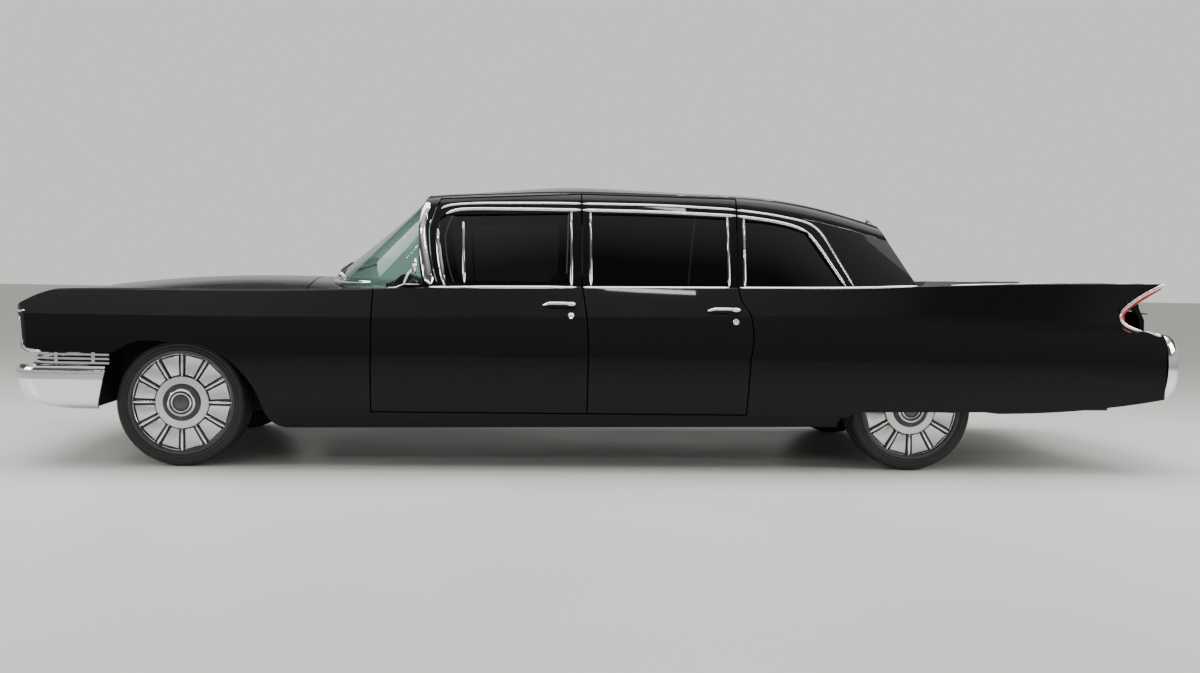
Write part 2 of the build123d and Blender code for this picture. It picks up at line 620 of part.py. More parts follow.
for stations in rails:
    cover = rail(stations, RAIL_WIDTH + 2 * (RAIL_ROOM + SHEET), RAIL_HEIGHT + 2 * (RAIL_ROOM + SHEET))
    floor += cover & box(back(FIREWALL_X), back(STEP_X), -900, 900, FLOOR_Z, 700)
    floor += cover & box(back(BOOT_X - SHEET), back(BOOT_X + 120), -900, 900, BOOT_FLOOR_Z, 700)
for stations in rails:
    floor -= rail(stations, RAIL_WIDTH + 2 * RAIL_ROOM, RAIL_HEIGHT + 2 * RAIL_ROOM)
floor -= box(back(600), back(STEP_X + 50), -TUNNEL_Y + SHEET, TUNNEL_Y - SHEET, 0, TUNNEL_Z - SHEET)
WELL = dict(y=610, z=730, low=420, reach=390)
for side_name, side in SIDES:
    x0, x1 = back(WHEELBASE - WELL["reach"]), back(WHEELBASE + WELL["reach"])
    skin = box(x0 - SHEET, x1 + SHEET, side * (WELL["y"] - SHEET), side * 1100, WELL["low"], WELL["z"] + SHEET)
    hollow = box(x0, x1, side * WELL["y"], side * 1200, 0, WELL["z"])
    floor = floor + skin - hollow
floor &= body_inner
floor -= rear_panel
save(floor, "floor_pan")

# Front wheel wells
inner_fenders = []
for side_name, side in SIDES:
    wall = box(back(-436), back(600), side * 462, side * 1000, 300, 745)
    wall -= box(back(-426), back(450), side * 472, side * 1100, 0, 735)
    wall -= box(back(460), back(700), side * 472, side * 1100, 0, 900)
    wall -= box(back(-170), back(170), side * 400, side * 500, 180, 500)
    inner_fenders.append(wall & body_inner)
save(inner_fenders, "inner_fenders")

chassis = None
for side_name, side in SIDES:
    one = rail([(x, side * y, z) for x, y, z in FRAME], RAIL_WIDTH, RAIL_HEIGHT)
    chassis = one if chassis is None else chassis + one
CROSS_MEMBERS = (
    # back, half y, z of middle, height
    (-640, 400, 420, 80), (0, 395, 275, 60), (1400, 130, 262, 34), (2300, 130, 262, 34), (4360, 500, 350, 60),
    (5020, 500, 350, 60),
)
for x, y, z, height in CROSS_MEMBERS:
    chassis += box(back(x - 50), back(x + 50), -y, y, z - height / 2, z + height / 2)
ENGINE_FOOT_Z, GEARBOX_R, SHAFT_Z = 340, 72, 330
chassis += joined(box(back(-50), back(50), -280, -210, 300, ENGINE_FOOT_Z))
chassis += box(back(960), back(1030), -190, 190, 236, SHAFT_Z - GEARBOX_R)
ARM_Y, ARM_Z, ARM_FRONT = 440, 238, 3250
chassis += joined(box(back(ARM_FRONT - 60), back(ARM_FRONT), -ARM_Y - 22, 22 - ARM_Y, ARM_Z - 20, 250))
# Wheels, hubs and axles
WHEEL_Y = TRACK / 2
HALF_TYRE = TYRE_WIDTH / 2
BEAD_R = 256
SPOKES = 12


def turned(profile):
    """A ring turned about Y from (radius, y) corners."""
    face = make_face(Plane.XY * Polyline(*profile, close=True))
    return revolve(face, Axis.Y)


def tyre():
    """A low tyre with rounded shoulders."""
    h = HALF_TYRE
    corners = [(BEAD_R, -h + 22), (RIM_R, -h + 6), (292, -h), (314, -h + 6), (TYRE_R - 2, -h + 26), (TYRE_R, -h + 60)]
    return turned(corners + [(r, -y) for r, y in reversed(corners)])


def wheel():
    """A disc wheel, its face toward -Y: a lip, twelve raised spokes with sunken panels between, hub ring and cap."""
    h = HALF_TYRE
    body = turned([
        (0, -h + 2), (42, -h + 2), (46, -h + 10), (60, -h + 10), (64, -h + 4), (92, -h + 8), (98, -h + 22), (246, -h + 26),
        (252, -h + 8), (RIM_R - 4, -h + 3), (RIM_R, -h + 6), (BEAD_R, -h + 22), (BEAD_R, h - 22), (RIM_R - 2, h - 6),
        (RIM_R - 12, h - 4), (240, h - 20), (240, -h + 60), (170, -h + 52), (170, -10), (32, -10), (32, -h + 30), (0, -h + 30),
    ])
    for i in range(SPOKES):
        panel = make_face(Polyline((118, -22), (240, -51), (240, 51), (118, 22), close=True))
        pocket = Plane.XZ * extrude(panel, 40)
        body -= Rot(0, 15 + i * 360 / SPOKES, 0) * Pos(0, -h + 38, 0) * pocket
    return body


one_tyre, one_wheel = tyre(), wheel()
AXLES = (("front", FRONT_AXLE_X), ("rear", REAR_AXLE_X))
for axle_name, axle_x in AXLES:
    for side_name, side in SIDES:
        turn = Rot(0, 0, 180) if side > 0 else Rot(0, 0, 0)
        place = Pos(axle_x, side * WHEEL_Y, TYRE_R)
        save(place * turn * one_tyre, f"tyre_{axle_name}_{side_name}")
        save(place * turn * one_wheel, f"wheel_{axle_name}_{side_name}")

HUB_R, HUB_END = 26, WHEEL_Y + HALF_TYRE - 36
for side_name, side in SIDES:
    spindle = Pos(FRONT_AXLE_X, side * (KINGPIN_Y + HUB_END) / 2, TYRE_R) * Rot(90, 0, 0) * Cylinder(HUB_R, HUB_END - KINGPIN_Y)
    plate = Pos(FRONT_AXLE_X, side * (KINGPIN_Y + 8), TYRE_R) * Rot(90, 0, 0) * Cylinder(140, 10)
    upright = box(FRONT_AXLE_X - 24, FRONT_AXLE_X + 24, side * (KINGPIN_Y - 22), side * (KINGPIN_Y + 12), 200, 470)
    save(spindle + plate + upright, f"knuckle_{side_name}")

ARM_END = KINGPIN_Y - 42
arms = []
for side_name, side in SIDES:
    for z in (215, 455):
        arm = make_face(Polyline((back(-150), 432), (back(150), 432), (back(24), ARM_END), (back(-24), ARM_END), close=True))
        arm = Pos(0, 0, z - 10) * Solid.extrude(arm.face(), Vector(0, 0, 20))
        arms.append(arm if side > 0 else mirror(arm, Plane.XZ))
    arms.append(box(back(-90), back(90), side * 432, side * 452, 205, 465))
for arm in arms:
    chassis += arm
save(chassis, "chassis_frame")

AXLE_TUBE_END = 690
axle = Pos(REAR_AXLE_X, 0, TYRE_R) * Rot(90, 0, 0) * Cylinder(42, 2 * AXLE_TUBE_END)
axle += Pos(REAR_AXLE_X, 0, TYRE_R) * Sphere(132)
for side_name, side in SIDES:
    middle = side * (AXLE_TUBE_END + HUB_END) / 2
    axle += Pos(REAR_AXLE_X, middle, TYRE_R) * Rot(90, 0, 0) * Cylinder(HUB_R, HUB_END - AXLE_TUBE_END)
# Air springs between the axle and the frame, and arms that locate the axle
SPRING_Y = 500
SPRING = [(0, 0), (46, 0), (46, 12), (58, 20), (66, 32), (58, 44), (66, 56), (58, 68), (46, 76), (46, 90), (0, 90)]
spring_top = 522 - RAIL_HEIGHT / 2
spring = revolve(make_face(Plane.XZ * Polyline(*SPRING, close=True)), Axis.Z)
seat_z = spring_top - SPRING[-1][1]
for side_name, side in SIDES:
    axle += Pos(REAR_AXLE_X, side * SPRING_Y, seat_z) * spring
    axle += box(REAR_AXLE_X - 50, REAR_AXLE_X + 50, side * (SPRING_Y - 50), side * (SPRING_Y + 50), TYRE_R, seat_z + 6)
axle += joined(box(back(ARM_FRONT), REAR_AXLE_X, -ARM_Y - 18, 18 - ARM_Y, ARM_Z - 16, ARM_Z + 16))
axle += joined(box(REAR_AXLE_X - 40, REAR_AXLE_X + 20, -ARM_Y - 18, 18 - ARM_Y, ARM_Z - 16, TYRE_R))
save(axle - chassis, "rear_axle")

# Engine with gearbox, drive shaft, radiator, tank and exhaust
engine = box(back(-330), back(430), -300, 300, ENGINE_FOOT_Z, 800) + box(back(430), back(690), -170, 170, 240, 560)
save(engine, "engine_block")
shaft_end = REAR_AXLE_X - 132
drive_shaft = Pos((back(1100) + shaft_end) / 2, 0, SHAFT_Z) * Rot(0, 90, 0) * Cylinder(38, shaft_end - back(1100))
gearbox = Pos((back(690) + back(1100)) / 2, 0, SHAFT_Z) * Rot(0, 90, 0) * Cylinder(GEARBOX_R, back(1100) - back(690))
save(drive_shaft + gearbox, "drive_line")
save(box(back(-640), back(-560), -330, 330, 460, 830), "radiator")
tank = box(back(4480), back(4950), -420, 420, 300, BOOT_FLOOR_Z)
save(fillet(tank.edges().filter_by(Axis.X), 30), "fuel_tank")
PIPE_R, PIPE_Y, PIPE_Z, SILENCER_R = 26, 250, 214, 46
PIPE_END = 3400
pipe = tube([(back(x), -PIPE_Y, z) for x, z in ((340, ENGINE_FOOT_Z), (340, PIPE_Z), (PIPE_END, PIPE_Z))], PIPE_R)
pipe += Pos(back(2200), -PIPE_Y, PIPE_Z) * Rot(0, 90, 0) * Cylinder(SILENCER_R, 620)
for x in (2150, 3280):
    pipe += box(back(x), back(x + 20), -PIPE_Y - 12, 12 - PIPE_Y, PIPE_Z, FLOOR_Z)
save([pipe, other_side(pipe)], "exhaust")

# Cabin furniture
SEATS = (
    # name, cushion x0, x1, back x0, x1, half width, base z, cushion z, top z
    ("front_seat", 1500, 2010, 1930, 2075, 690, TUNNEL_Z, 560, 1040),
    ("rear_seat", 2960, 3400, 3300, 3425, 580, 486, 600, 1060),
)
for name, x0, x1, x2, x3, y, z0, z1, z2 in SEATS:
    seat = box(back(x0), back(x1), -y, y, z0, z1)
    seat += box(back(x2), back(x3), -y, y, z0, z2)
    save(seat, name)
DASH_START = (COWL_BACK, 700)
DASH = (((COWL_BACK, 952),), ((1120, 938),), ((1212, 850),), ((1200, 700),))
dashboard = side_prism(DASH_START, DASH, -700 + 4, 700 - 4)
dashboard += side_prism((COWL_BACK + 30, 860), (((COWL_BACK + 36, 960), (1090, 1000)), ((1150, 985), (1190, 860))), -590, -230)
COLUMN = ((820, -400, 640), (1290, -400, 900))
dashboard -= tube([(back(x), y, z) for x, y, z in COLUMN], 32)
column_dir = Vector(COLUMN[1][0] - COLUMN[0][0], 0, COLUMN[1][2] - COLUMN[0][2]).normalized()
column = tube([(back(x), y, z) for x, y, z in COLUMN], 26)
column = biggest(column - box(-4000, back(FIREWALL_X + SHEET), -600, 0, 0, 1200))
save([dashboard, column], "dashboard")

wheel_plane = Plane(origin=Vector(back(1290), -400, 900) + column_dir * 40, z_dir=column_dir)
rim = wheel_plane * Torus(200, 13)
rim += wheel_plane * Cylinder(36, 50)
rim += wheel_plane * Pos(0, 0, -22) * Cylinder(20, 34)
rim += wheel_plane * Box(400, 24, 14)
save(rim, "steering_wheel")
save(box(back(2128), back(2150), -700, 700, FLOOR_Z + SHEET, 930) - box(back(2000), back(2200), -TUNNEL_Y, TUNNEL_Y, 0, TUNNEL_Z), "partition")
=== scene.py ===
# %% [markdown]
# A long black formal sedan with tail fins, dressed for a studio photograph. The car's solids come from its
# CAD model and stay where they are. This lesson gives them their finishes, adds what a body shop and a
# trimmer would add, such as mouldings, handles, lamps, tread and padded seats, and lights the result. Every
# length is in metres, the nose points to -X, the driver's side is -Y, and the ground is at Z 0.

# %% Load the frame
import math

import bmesh
import bpy
from mathutils import Matrix, Vector
from mathutils.bvhtree import BVHTree


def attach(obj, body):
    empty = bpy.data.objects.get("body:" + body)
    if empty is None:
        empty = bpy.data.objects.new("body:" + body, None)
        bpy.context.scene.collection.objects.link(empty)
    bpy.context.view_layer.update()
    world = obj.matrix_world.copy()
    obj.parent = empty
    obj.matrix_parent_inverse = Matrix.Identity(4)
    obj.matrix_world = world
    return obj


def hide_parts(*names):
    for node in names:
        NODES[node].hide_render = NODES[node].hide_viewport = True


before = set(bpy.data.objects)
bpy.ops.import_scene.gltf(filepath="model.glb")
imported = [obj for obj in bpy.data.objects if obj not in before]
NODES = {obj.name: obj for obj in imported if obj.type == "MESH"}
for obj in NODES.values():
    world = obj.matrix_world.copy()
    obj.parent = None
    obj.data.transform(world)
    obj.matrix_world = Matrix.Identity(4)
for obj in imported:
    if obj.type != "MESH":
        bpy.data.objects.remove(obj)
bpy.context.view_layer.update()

# %% [markdown]
# The camera stands by the car's front half and looks slightly back, a little above the belt line. Its place
# came from matching the wheels, the sill and the roof in the photograph, so it is given as numbers: a
# point, three small angles and a focal length. A matrix of right, up and backward vectors is the plainest
# way to set it.

# %% Camera


def placed(name, data):
    """A new object in the scene."""
    made = bpy.data.objects.new(name, data)
    bpy.context.collection.objects.link(made)
    return made


CAMERA_AT = Vector((-0.5423, -7.2031, 1.0143))
YAW, PITCH, ROLL = math.radians(4.235), math.radians(-2.885), math.radians(1.007)
FOCAL_SHARE = 1217.7 / 1200

level = Vector((math.sin(YAW), math.cos(YAW), 0))
right = Vector((math.cos(YAW), -math.sin(YAW), 0))
ahead = level * math.cos(PITCH) + Vector((0, 0, math.sin(PITCH)))
up = Vector((0, 0, math.cos(PITCH))) - level * math.sin(PITCH)
right, up = right * math.cos(ROLL) + up * math.sin(ROLL), up * math.cos(ROLL) - right * math.sin(ROLL)
camera_data = bpy.data.cameras.new("camera")
camera_data.sensor_width = 36
camera_data.lens = 36 * FOCAL_SHARE
camera_data.clip_end = 200
camera = placed("camera", camera_data)
camera.matrix_world = Matrix.Translation(CAMERA_AT) @ Matrix((right, up, -ahead)).transposed().to_4x4()
bpy.context.scene.camera = camera
print("camera lens", round(camera_data.lens, 2))

# %% [markdown]
# Shader maths reads best as plain expressions. A Socket wraps the output of a node, and adding or
# multiplying two of them adds a Math node. A Finish is one material while it is being built: `node` adds
# any node, and `feed` links a Socket or sets a number.

# %% Shader helpers


class Socket:
    """An output of a node, with arithmetic for masks and heights."""

    def __init__(self, finish, output):
        self.finish = finish
        self.output = output

    def maths(self, operation, first, second):
        return self.finish.node("ShaderNodeMath", {"operation": operation}, {0: first, 1: second})

    def __add__(self, other):
        return self.maths("ADD", self, other)

    def __mul__(self, other):
        return self.maths("MULTIPLY", self, other)


class Finish:
    """A material, built from its shader outwards."""

    def __init__(self, name, **fixed):
        self.material = bpy.data.materials.new(name)
        self.material.use_nodes = True
        self.tree = self.material.node_tree
        self.shader = self.tree.nodes["Principled BSDF"]
        for key, value in fixed.items():
            self.feed(key.replace("_", " "), value)
        coordinates = self.tree.nodes.new("ShaderNodeTexCoord")
        self.place = Socket(self, coordinates.outputs["Object"])

    def node(self, kind, settings=None, inputs=None, output=0):
        """Add a node: its settings first, then the values or links of its sockets."""
        made = self.tree.nodes.new(kind)
        for key, value in (settings or {}).items():
            setattr(made, key, value)
        for key, value in (inputs or {}).items():
            self.link(made.inputs[key], value)
        return Socket(self, made.outputs[output])

    def link(self, socket, value):
        if isinstance(value, Socket):
            self.tree.links.new(value.output, socket)
        else:
            socket.default_value = value

    def feed(self, name, value):
        """Set or link one socket of the shader."""
        self.link(self.shader.inputs[name], value)

    def noise(self, scale, detail=2.0, stretch=(1, 1, 1)):
        """Noise from 0 to 1 over the object's own coordinates."""
        place = self.node("ShaderNodeMapping", None, {"Vector": self.place, "Scale": stretch})
        return self.node("ShaderNodeTexNoise", None, {"Vector": place, "Scale": scale, "Detail": detail})

    def bands(self, direction, scale):
        """Even bands from 0 to 1 across one direction."""
        inputs = {"Vector": self.place, "Scale": scale}
        return self.node("ShaderNodeTexWave", {"bands_direction": direction}, inputs)

    def cells(self, scale):
        """Small cells, as in the grain of a hide."""
        return self.node("ShaderNodeTexVoronoi", None, {"Vector": self.place, "Scale": scale})

    def rough(self, mask, low, high):
        """Roughness that follows a mask of 0 to 1 from low to high."""
        self.feed("Roughness", mask * (high - low) + low)

    def tint(self, mask, first, second):
        """A base colour that follows a mask of 0 to 1 from the first to the second."""
        colours = {0: mask, 6: (*first, 1), 7: (*second, 1)}
        self.feed("Base Color", self.node("ShaderNodeMix", {"data_type": "RGBA"}, colours, output=2))

    def bump(self, height, distance, strength=1.0):
        """Feed the normal from a height of 0 to 1 that stands for this distance in metres."""
        normal = self.node(
            "ShaderNodeBump", None, {"Height": height, "Distance": distance, "Strength": strength}
        )
        self.feed("Normal", normal)


print("helpers ready")

# %% [markdown]
# Paint first. Black lacquer on an old car is a very dark base under a clear coat. What tells it from
# plastic is the coat's slight orange peel, which breaks up reflections at the scale of a few millimetres,
# and the long low waves of hand-finished steel under it. Both are bumps. Fine dust in patches lifts the
# roughness a little.

# %% Body paint
paint = Finish(
    "black_lacquer", Base_Color=(0.0025, 0.0025, 0.003, 1), Roughness=0.34, Coat_Weight=1.0,
    Coat_Roughness=0.02, Coat_IOR=1.22, Specular_IOR_Level=0.06,
)
peel = paint.noise(240, 1.0)
waves = paint.noise(1.6, 1.0, (1, 1, 2.4))
paint.bump(peel * 0.04 + waves, 0.004, 0.35)
dust = paint.noise(35, 4.0)
paint.rough(dust, 0.28, 0.42)

# %% [markdown]
# Bright metal comes in two kinds here. Chromium plate is almost a mirror with a cool cast and faint
# hairlines from polishing. The wheel discs under their plates are a dark turned grey, painted shade, so
# that the gaps between plates read dark like shadowed recesses.

# %% Bright metals
chrome = Finish("chromium_plate", Base_Color=(0.82, 0.83, 0.86, 1), Metallic=1.0, Roughness=0.06)
hairlines = chrome.noise(90, 3.0, (0.15, 1, 1))
chrome.rough(hairlines, 0.035, 0.1)

# Painted shade: the disc under the plates is made dark so that the gaps between plates look shadowed.
painted_gap_shade = Finish("wheel_gap_grey", Base_Color=(0.055, 0.055, 0.058, 1), Metallic=0.6, Roughness=0.45)
turning = painted_gap_shade.noise(260, 2.0, (1, 0.05, 1))
painted_gap_shade.rough(turning, 0.36, 0.55)
painted_gap_shade.bump(turning, 0.0002, 0.4)

# %% [markdown]
# Glass is a solid slab with real thickness, so full transmission bends and tints light on its own. The
# windscreen is a pale green safety glass, the front door glass is smoked, and the rear compartment's is
# darker again. A breath of grime varies the roughness, because perfectly even glass looks like a hole.

# %% Glass


def glass(name, colour, low, high):
    """Tinted safety glass with a trace of grime."""
    finish = Finish(name, Base_Color=(*colour, 1), Roughness=low, Transmission_Weight=1.0, IOR=1.5)
    finish.rough(finish.noise(4.0, 5.0), low, high)
    return finish


screen_glass = glass("green_screen_glass", (0.6, 0.8, 0.76), 0.0, 0.02)
smoked_glass = glass("smoked_glass", (0.1, 0.115, 0.11), 0.0, 0.02)
privacy_glass = glass("privacy_glass", (0.03, 0.032, 0.032), 0.0, 0.02)
lamp_glass = glass("fluted_lamp_glass", (0.93, 0.96, 0.98), 0.01, 0.04)
flutes = lamp_glass.bands("Y", 40.0)
lamp_glass.bump(flutes, 0.0012, 0.6)
red_lens = Finish("red_lens", Base_Color=(0.42, 0.004, 0.004, 1), Roughness=0.08, Coat_Weight=0.6, IOR=1.49)
ribs = red_lens.bands("Z", 60.0)
red_lens.bump(ribs, 0.001, 0.5)
red_lens.tint(ribs, (0.3, 0.002, 0.002), (0.5, 0.012, 0.008))

# %% [markdown]
# Rubber, castings, underbody and cabin. Each dark finish needs its own light: rubber is a soft grey-black
# with moulding marks, the underbody is matt and dusty, castings are pitted, leather has pores and creases,
# and vinyl a finer regular grain. All read Object coordinates, so grain stays the same size on every piece.

# %% Dark finishes
rubber = Finish("tyre_rubber", Base_Color=(0.014, 0.014, 0.015, 1), Roughness=0.6, Specular_IOR_Level=0.35)
scuffs = rubber.noise(28, 5.0)
rubber.tint(scuffs, (0.01, 0.01, 0.011), (0.026, 0.025, 0.024))
rubber.rough(scuffs, 0.48, 0.72)
rubber.bump(rubber.noise(320, 2.0), 0.0004, 0.3)

underbody = Finish("underbody_black", Base_Color=(0.012, 0.012, 0.012, 1), Roughness=0.75)
road_dust = underbody.noise(9, 6.0)
underbody.tint(road_dust, (0.008, 0.008, 0.008), (0.035, 0.032, 0.028))
underbody.rough(road_dust, 0.6, 0.9)
underbody.bump(underbody.noise(180, 3.0), 0.001, 0.4)

casting = Finish("painted_casting", Base_Color=(0.03, 0.03, 0.032, 1), Roughness=0.55, Metallic=0.3)
pits = casting.noise(420, 3.0)
casting.rough(pits, 0.45, 0.7)
casting.bump(pits, 0.0008, 0.5)

dull_steel = Finish("dull_steel", Base_Color=(0.3, 0.29, 0.27, 1), Roughness=0.45, Metallic=0.9)
heat = dull_steel.noise(6, 4.0)
dull_steel.tint(heat, (0.2, 0.18, 0.16), (0.42, 0.41, 0.4))
dull_steel.rough(heat, 0.35, 0.6)

leather = Finish("black_leather", Base_Color=(0.012, 0.011, 0.011, 1), Roughness=0.42)
pores = leather.cells(520.0)
creases = leather.noise(14, 5.0)
leather.rough(creases, 0.34, 0.56)
leather.tint(creases, (0.01, 0.009, 0.009), (0.022, 0.02, 0.019))
leather.bump(pores * 0.3 + creases, 0.0016, 0.5)

vinyl = Finish("grained_vinyl", Base_Color=(0.013, 0.013, 0.014, 1), Roughness=0.5)
grain = vinyl.cells(900.0)
vinyl.rough(grain, 0.42, 0.62)
vinyl.bump(grain, 0.0005, 0.5)

carpet = Finish("cut_pile_carpet", Base_Color=(0.012, 0.012, 0.013, 1), Roughness=0.95, Sheen_Weight=0.3)
tufts = carpet.noise(700, 2.0)
carpet.tint(tufts, (0.006, 0.006, 0.007), (0.028, 0.027, 0.028))
carpet.bump(tufts, 0.003, 0.8)

print("finishes", len(bpy.data.materials))

# %% [markdown]
# Every CAD node now gets its finish. A node keeps its mesh, and only its material changes. The names say
# what each node is, so a short table of finishes and names is enough.

# %% Finishes of the CAD nodes


def pairs(*names):
    """The left and the right node of each name."""
    return [f"{name}_{side}" for name in names for side in ("left", "right")]


FINISHES = {
    paint: ("hood", "boot_lid", "roof", "cowl", "rear_panel", "sills", "fender_skirts",
            *pairs("door_front", "door_rear", "front_fender", "quarter_panel")),
    chrome: ("front_bumper", "rear_bumper", "front_grille"),
    painted_gap_shade: pairs("wheel_front", "wheel_rear"),
    rubber: pairs("tyre_front", "tyre_rear"),
    screen_glass: ("windshield",),
    smoked_glass: pairs("door_glass_front"),
    privacy_glass: ("rear_glass", *pairs("door_glass_rear")),
    lamp_glass: ("headlamps",),
    red_lens: ("tail_lamps",),
    underbody: ("chassis_frame", "floor_pan", "inner_fenders", "rear_axle", "fuel_tank", "radiator",
                "drive_line"),
    casting: ("engine_block", *pairs("knuckle")),
    dull_steel: ("exhaust",),
    leather: ("front_seat", "rear_seat"),
    vinyl: ("dashboard", "steering_wheel", "partition"),
}


def dress(piece, finish):
    """Give a piece one finish, in place of what it had."""
    piece.data.materials.clear()
    piece.data.materials.append(finish.material)


dressed = set()
for finish, names in FINISHES.items():
    for name in names:
        dress(NODES[name], finish)
        dressed.add(name)
print("undressed nodes", sorted(set(NODES) - dressed))

# %% [markdown]
# Trim follows the body, so it is easier to find the body's surface than to guess it. A search tree over the
# faces of some CAD nodes answers where a ray from the side, or from above, meets the skin, and which way
# the skin faces there. A moulding is then a row of flattened rings bridged into one tube, half sunk in the
# panel.

# %% Helpers for trim
SIDES = (("left", -1), ("right", 1))
FRONT_AXLE_X = -2.209
INMOST_SKIN = 0.45


def back(millimetres):
    """X of a place measured back from the front axle, in millimetres."""
    return FRONT_AXLE_X + millimetres / 1000


def skin_of(*names):
    """A search tree over the faces of some CAD nodes."""
    net = bmesh.new()
    for name in names:
        net.from_mesh(NODES[name].data)
    tree = BVHTree.FromBMesh(net)
    net.free()
    return tree


def cast(tree, start, way):
    """Where a ray meets the skin, with the normal there that faces the ray. It may be nowhere."""
    hit, normal = tree.ray_cast(Vector(start), Vector(way))[:2]
    if hit is None:
        return None, None
    return hit, normal if normal.dot(Vector(way)) < 0 else -normal


def hits(tree, starts, way):
    """What some parallel rays meet. Those that miss are left out."""
    return [found for found in (cast(tree, start, way) for start in starts) if found[0] is not None]


def on_side(tree, x, z, side, strict=False):
    """Where a level ray from one side meets the skin, or else the nearest place on it."""
    hit, normal = cast(tree, (x, side * 1.6, z), (0, -side, 0))
    if hit is not None and abs(hit.y) >= INMOST_SKIN:
        return hit, normal
    if strict:
        return None
    hit, normal = tree.find_nearest(Vector((x, side * 0.95, z)))[:2]
    return hit, normal if normal.y * side > 0 else -normal


def on_top(tree, x, y):
    """Where a ray from above meets the skin."""
    return cast(tree, (x, y, 2.2), (0, 0, -1))


def smooth_line(points, step=0.03):
    """Points along a Catmull-Rom line through the given ones, a step apart."""
    points = [Vector(p) for p in points]
    ends = [points[0] * 2 - points[1], *points, points[-1] * 2 - points[-2]]
    line = []
    for a, b, c, d in zip(ends, ends[1:], ends[2:], ends[3:]):
        count = max(1, round((c - b).length / step))
        for index in range(count):
            t = index / count
            line.append(0.5 * (2 * b + (c - a) * t + (2 * a - 5 * b + 4 * c - d) * t * t
                               + (3 * b - a - 3 * c + d) * t * t * t))
    return [*line, points[-1]]


def settled(vectors, passes=4):
    """The same row of vectors with the small jumps between facets averaged out. The ends stay."""
    row = list(vectors)
    for _ in range(passes):
        row = [row[0], *((a + 2 * b + c) / 4 for a, b, c in zip(row, row[1:], row[2:])), row[-1]]
    return row


def edges_of(verts):
    """The edges at some vertices, each once and in a fixed order."""
    return list(dict.fromkeys(edge for vert in verts for edge in vert.link_edges))


def sweep(net, points, normals, half_width, half_height, segments=10, end_width=None):
    """Bridge flattened rings along a line. Each lies across the line, its short way along the normal."""
    loops = []
    last = len(points) - 1
    for index, point in enumerate(points):
        along = (points[min(index + 1, last)] - points[max(index - 1, 0)]).normalized()
        across = normals[index].cross(along).normalized()
        turn = Matrix((across, along.cross(across), along)).transposed().to_4x4()
        taper = 0.35 if index in (0, last) else 1.0
        width = half_width + ((end_width or half_width) - half_width) * index / last
        size = Matrix.Diagonal((width * taper, half_height * taper, 1, 1))
        ring = bmesh.ops.create_circle(
            net, segments=segments, radius=1, matrix=Matrix.Translation(point) @ turn @ size
        )["verts"]
        loops.append(edges_of(ring))
    for first, second in zip(loops, loops[1:]):
        bmesh.ops.bridge_loops(net, edges=first + second)
    bmesh.ops.holes_fill(net, edges=loops[0] + loops[-1])


def soften(net, edges, offset, segments=4):
    """Round some edges of a bmesh."""
    bmesh.ops.bevel(
        net, geom=edges, offset=offset, affect="EDGES", segments=segments, profile=0.5, material=-1
    )


def rounded_box(net, place, half, offset, segments=4):
    """Add a box with these half sizes, set by a matrix, and round all its edges."""
    matrix = place @ Matrix.Diagonal((*half, 1))
    corners = bmesh.ops.create_cube(net, size=2, matrix=matrix)["verts"]
    soften(net, edges_of(corners), offset, segments)


def mesh_from(name, net):
    """The mesh of a bmesh, which is freed."""
    mesh = bpy.data.meshes.new(name)
    net.to_mesh(mesh)
    net.free()
    return mesh


def piece_from(name, net, finish, body, crease=40):
    """Turn a bmesh into a finished piece that rides on a CAD body."""
    bmesh.ops.recalc_face_normals(net, faces=net.faces)
    mesh = mesh_from(name, net)
    mesh.polygons.foreach_set("use_smooth", [True] * len(mesh.polygons))
    mesh.set_sharp_from_angle(angle=math.radians(crease))
    piece = placed(name, mesh)
    dress(piece, finish)
    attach(piece, body)
    return piece


def side_moulding(net, tree, line, side, half_width, half_height, lift=0.0, step=0.03, strict=False,
                  end_width=None):
    """A moulding on the side of the body along (back, height) points in millimetres."""
    flat = smooth_line([(back(x), 0, z / 1000) for x, z in line], step)
    found = [on_side(tree, p.x, p.z, side, strict=strict) for p in flat]
    found = [pair for pair in found if pair]
    if len(found) < 3:
        found = [on_side(tree, p.x, p.z, side) for p in flat]
    normals = [normal.normalized() for normal in settled([normal for _, normal in found])]
    points = settled([hit for hit, _ in found], 2)
    lifted = [p + n * lift for p, n in zip(points, normals)]
    sweep(net, lifted, normals, half_width, half_height, end_width=end_width)


def moulding(name, tree, line, side, half_width, half_height, lift, body, finish=None, **more):
    """A side moulding that is a piece of its own."""
    net = bmesh.new()
    side_moulding(net, tree, line, side, half_width, half_height, lift, **more)
    piece_from(name, net, finish or chrome, body)


print("trim helpers ready")

# %% [markdown]
# The doors are cut up into the roof, so each moulding is broken at the shut lines and every length rides on
# the panel it is fixed to. One table gives each line's shape and a second gives where it is broken.

# %% Shut lines and long mouldings
SHUTS = {"B": {"belt": 2038, "drip": 2036}, "C": {"belt": 2856, "drip": 2862}}
GAP = 4.5
DRIP = ((1275, 1326), (1316, 1361), (1447, 1377), (1700, 1384), (1922, 1388), (2439, 1388), (2832, 1375),
        (3031, 1354), (3167, 1331), (3262, 1309), (3318, 1262), (3385, 1138), (3440, 1036), (3472, 975))
BELT = ((1240, 938), (1700, 944), (2127, 951), (2800, 960), (3440, 970), (3800, 985))
REVEAL = ((1306, 1302), (1352, 1336), (1440, 1349), (1700, 1353), (2040, 1355), (2440, 1353), (2862, 1341),
          (3050, 1319), (3180, 1292), (3246, 1262))


def cut_line(line, low, high):
    """The part of a line between two places along the car, with its ends worked out."""

    def at(x):
        for (x0, z0), (x1, z1) in zip(line, line[1:]):
            if x0 <= x <= x1:
                return x, z0 + (z1 - z0) * (x - x0) / (x1 - x0)
        return line[0] if x < line[0][0] else line[-1]

    inside = [p for p in line if low < p[0] < high]
    return (at(low), *inside, at(high))


